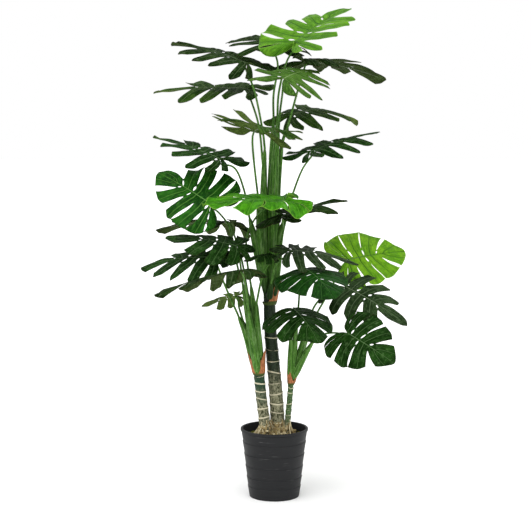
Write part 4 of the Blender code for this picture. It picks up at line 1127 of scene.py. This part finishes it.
def leafMaterial(name, look, under=False):
    made, tree = newMaterial(name)
    node = tree.nodes.new("ShaderNodeGroup")
    node.node_tree = marksGroup
    marks = node.outputs
    coords = coordsOf(tree)
    cloud = noiseValue(tree, coords, 16.0)
    grain = noiseValue(tree, coords, 700.0, 2.0)
    flow = noiseValue(tree, coords, 60.0, 4.0)
    # flecks in the vein colour: painted sheen where that colour is lighter than the face, darker mottle where
    # it is darker
    fleckAndSheen = spread(tree, noiseValue(tree, coords, 85.0, 5.0, 0.65), 0.53, 0.7)
    base = look["under"] if under else look["face"]
    deep = tuple(0.65 * value for value in base) if under else look["deep"]
    # the face colour lifted towards the vein colour, used for the painted sheen streaks
    light = tuple(1.4 * a + 0.35 * b for a, b in zip(base, look["vein"]))
    dark = tuple(0.45 * value for value in deep)
    strength = look["veins"] * (0.6 if under else 1.0)
    rough = look["rough"] + (0.15 if under else 0.0)
    colour = coated(
        tree, blendColour(tree, spread(tree, cloud, 0.36, 0.64), deep, base),
        # painted sheen: lighter streaks of the face colour along the brush noise; the next coat adds darker
        # mottled streaks
        (spread(tree, marks["brushAndSheen"], 0.49, 0.68), 0.55, light),
        (spread(tree, marks["brushAndSheen"], 0.32, 0.48, 1.0, 0.0), 0.6, dark),
        # painted shade: the vein grooves darken towards the deep colour
        (marks["grooveShade"], 0.5, deep),
        (fleckAndSheen, look["fleckAndSheen"], look["vein"]),
        (marks["fine"], 0.2 * strength, look["vein"]),
        (spread(tree, marks["veins"], 0.05, 0.75), strength, look["vein"]),
        (marks["rim"], 0.5, look["rim"]))
    height = plus(tree, marks["height"], times(tree, grain, 0.1))
    return finishMaterial(made, colour, spread(tree, flow, 0.3, 0.7, rough - 0.06, rough + 0.1), look["shine"],
                          (height, 0.6 if under else 0.45, 0.0016))


def stalkMaterial(name, shadeUpTo):
    # mottled green with pale and dark streaks along it, and painted shade that darkens its foot up to the given
    # height
    made, tree = newMaterial(name)
    coords, uv = coordsOf(tree), coordsOf(tree, "UV")
    streak = streakNoise(tree, uv, (13.0, 7.0, 1.0), 4.0, 0.65)
    thread = streakNoise(tree, uv, (34.0, 12.0, 1.0), 4.0, 0.65)
    mottle = streakNoise(tree, coords, (170.0, 170.0, 60.0), 4.0, 0.65)
    cloud = noiseValue(tree, coords, 20.0)
    colour = coated(
        tree, blendColour(tree, spread(tree, streak, 0.36, 0.62), (0.014, 0.062, 0.005), (0.092, 0.235, 0.032)),
        (spread(tree, mottle, 0.5, 0.66), 0.6, (0.17, 0.35, 0.085)),
        (spread(tree, thread, 0.54, 0.68), 0.75, (0.28, 0.4, 0.19)),
        (spread(tree, thread, 0.34, 0.46, 1.0, 0.0), 0.5, (0.008, 0.03, 0.005)),
        (spread(tree, cloud, 0.52, 0.72), 0.4, (0.014, 0.05, 0.007)))
    level = splitVector(tree, coords)[2]
    # painted shade: the sheaths go dark near their foot, where the leaves above shade them
    shade = spread(tree, level, shadeUpTo - 0.07, shadeUpTo + 0.03, 0.85, 0.0)
    colour = blendColour(tree, shade, colour, (0.006, 0.014, 0.006))
    height = plus(tree, streak, times(tree, mottle, 0.5))
    return finishMaterial(made, colour, spread(tree, cloud, 0.3, 0.7, 0.46, 0.6), 0.06, (height, 0.5, 0.0015))


def ribMaterial(name, look):
    made, tree = newMaterial(name)
    streak = noiseValue(tree, coordsOf(tree), 120.0)
    between = tuple(0.5 * (a + b) for a, b in zip(look["vein"], look["under"]))
    return finishMaterial(made, blendColour(tree, streak, look["vein"], between), 0.5)


# broad stalk bases

# closes: share at which the top narrows into the stalk; foot: share below which it narrows into the stem
sheathForm = {
    "narrow": 0.0048, "taper": 1.4, "belly": 0.26, "groove": 0.22, "grooveWide": 0.3,
    "keel": 0.07, "keelAt": 0.62,
    "ribs": 0.018, "closes": 0.97, "closeOver": 0.03, "close": 0.3, "foot": 0.2, "pinch": 0.36,
    "sides": 40, "cells": 42, "turn": 2.4,
}


def makeSheaths(side, green):
    shape = bmesh.new()
    form = sheathForm
    for number in stems[side]["leaves"]:
        leaf = leaves[number]
        route = smoothRoute(leaf["sheath"], form["cells"] // (len(leaf["sheath"]) - 1))

        def radiusAt(share, angle, wide=leaf["broad"], bearing=number * form["turn"]):
            radius = wide + (form["narrow"] - wide) * share ** form["taper"]
            radius *= 1 + form["belly"] * math.sin(math.pi * share)
            away = math.atan2(math.sin(angle - bearing), math.cos(angle - bearing))
            groove = form["groove"] * math.exp(-(away / form["grooveWide"]) ** 2) * min(1.0, share * 5)
            keel = form["keel"] * math.exp(-(abs(away) - form["keelAt"]) ** 2 / 0.03)
            ribs = form["ribs"] * math.sin(angle * 9 + bearing)
            close = 1.0
            if share >= form["closes"]:
                close = 1 - form["close"] * (share - form["closes"]) / form["closeOver"]
            if share < form["foot"]:
                close = 1 - form["pinch"] * (1 - share / form["foot"]) ** 2
            return radius * (1 - groove + keel + ribs) * close

        addTube(shape, route, radiusAt, form["sides"])
    newPiece(f"sheaths{side.title()}", shape, [green], "stalk_green", f"sheaths_{side}")


# the centre bundle's sheaths get painted shade on their foot; the other stalks and sheaths get none
stalkGreen = stalkMaterial("stalkGreen", 0.0)
shadedSheathGreen = stalkMaterial("shadedSheathGreen", 0.7)
for side in stems:
    makeSheaths(side, shadedSheathGreen if side == "centre" else stalkGreen)
print("sheaths done")

finishes = {name: (leafMaterial(f"{name}Face", look), leafMaterial(f"{name}Under", look, True),
                   ribMaterial(f"{name}Rib", look)) for name, look in looks.items()}
for number, leaf in leaves.items():
    face, under, rib = finishes[leaf["look"]]
    makeBlade(number, leaf, face, under)
    makeStalk(number, leaf, stalkGreen, rib)
print("leaves done")
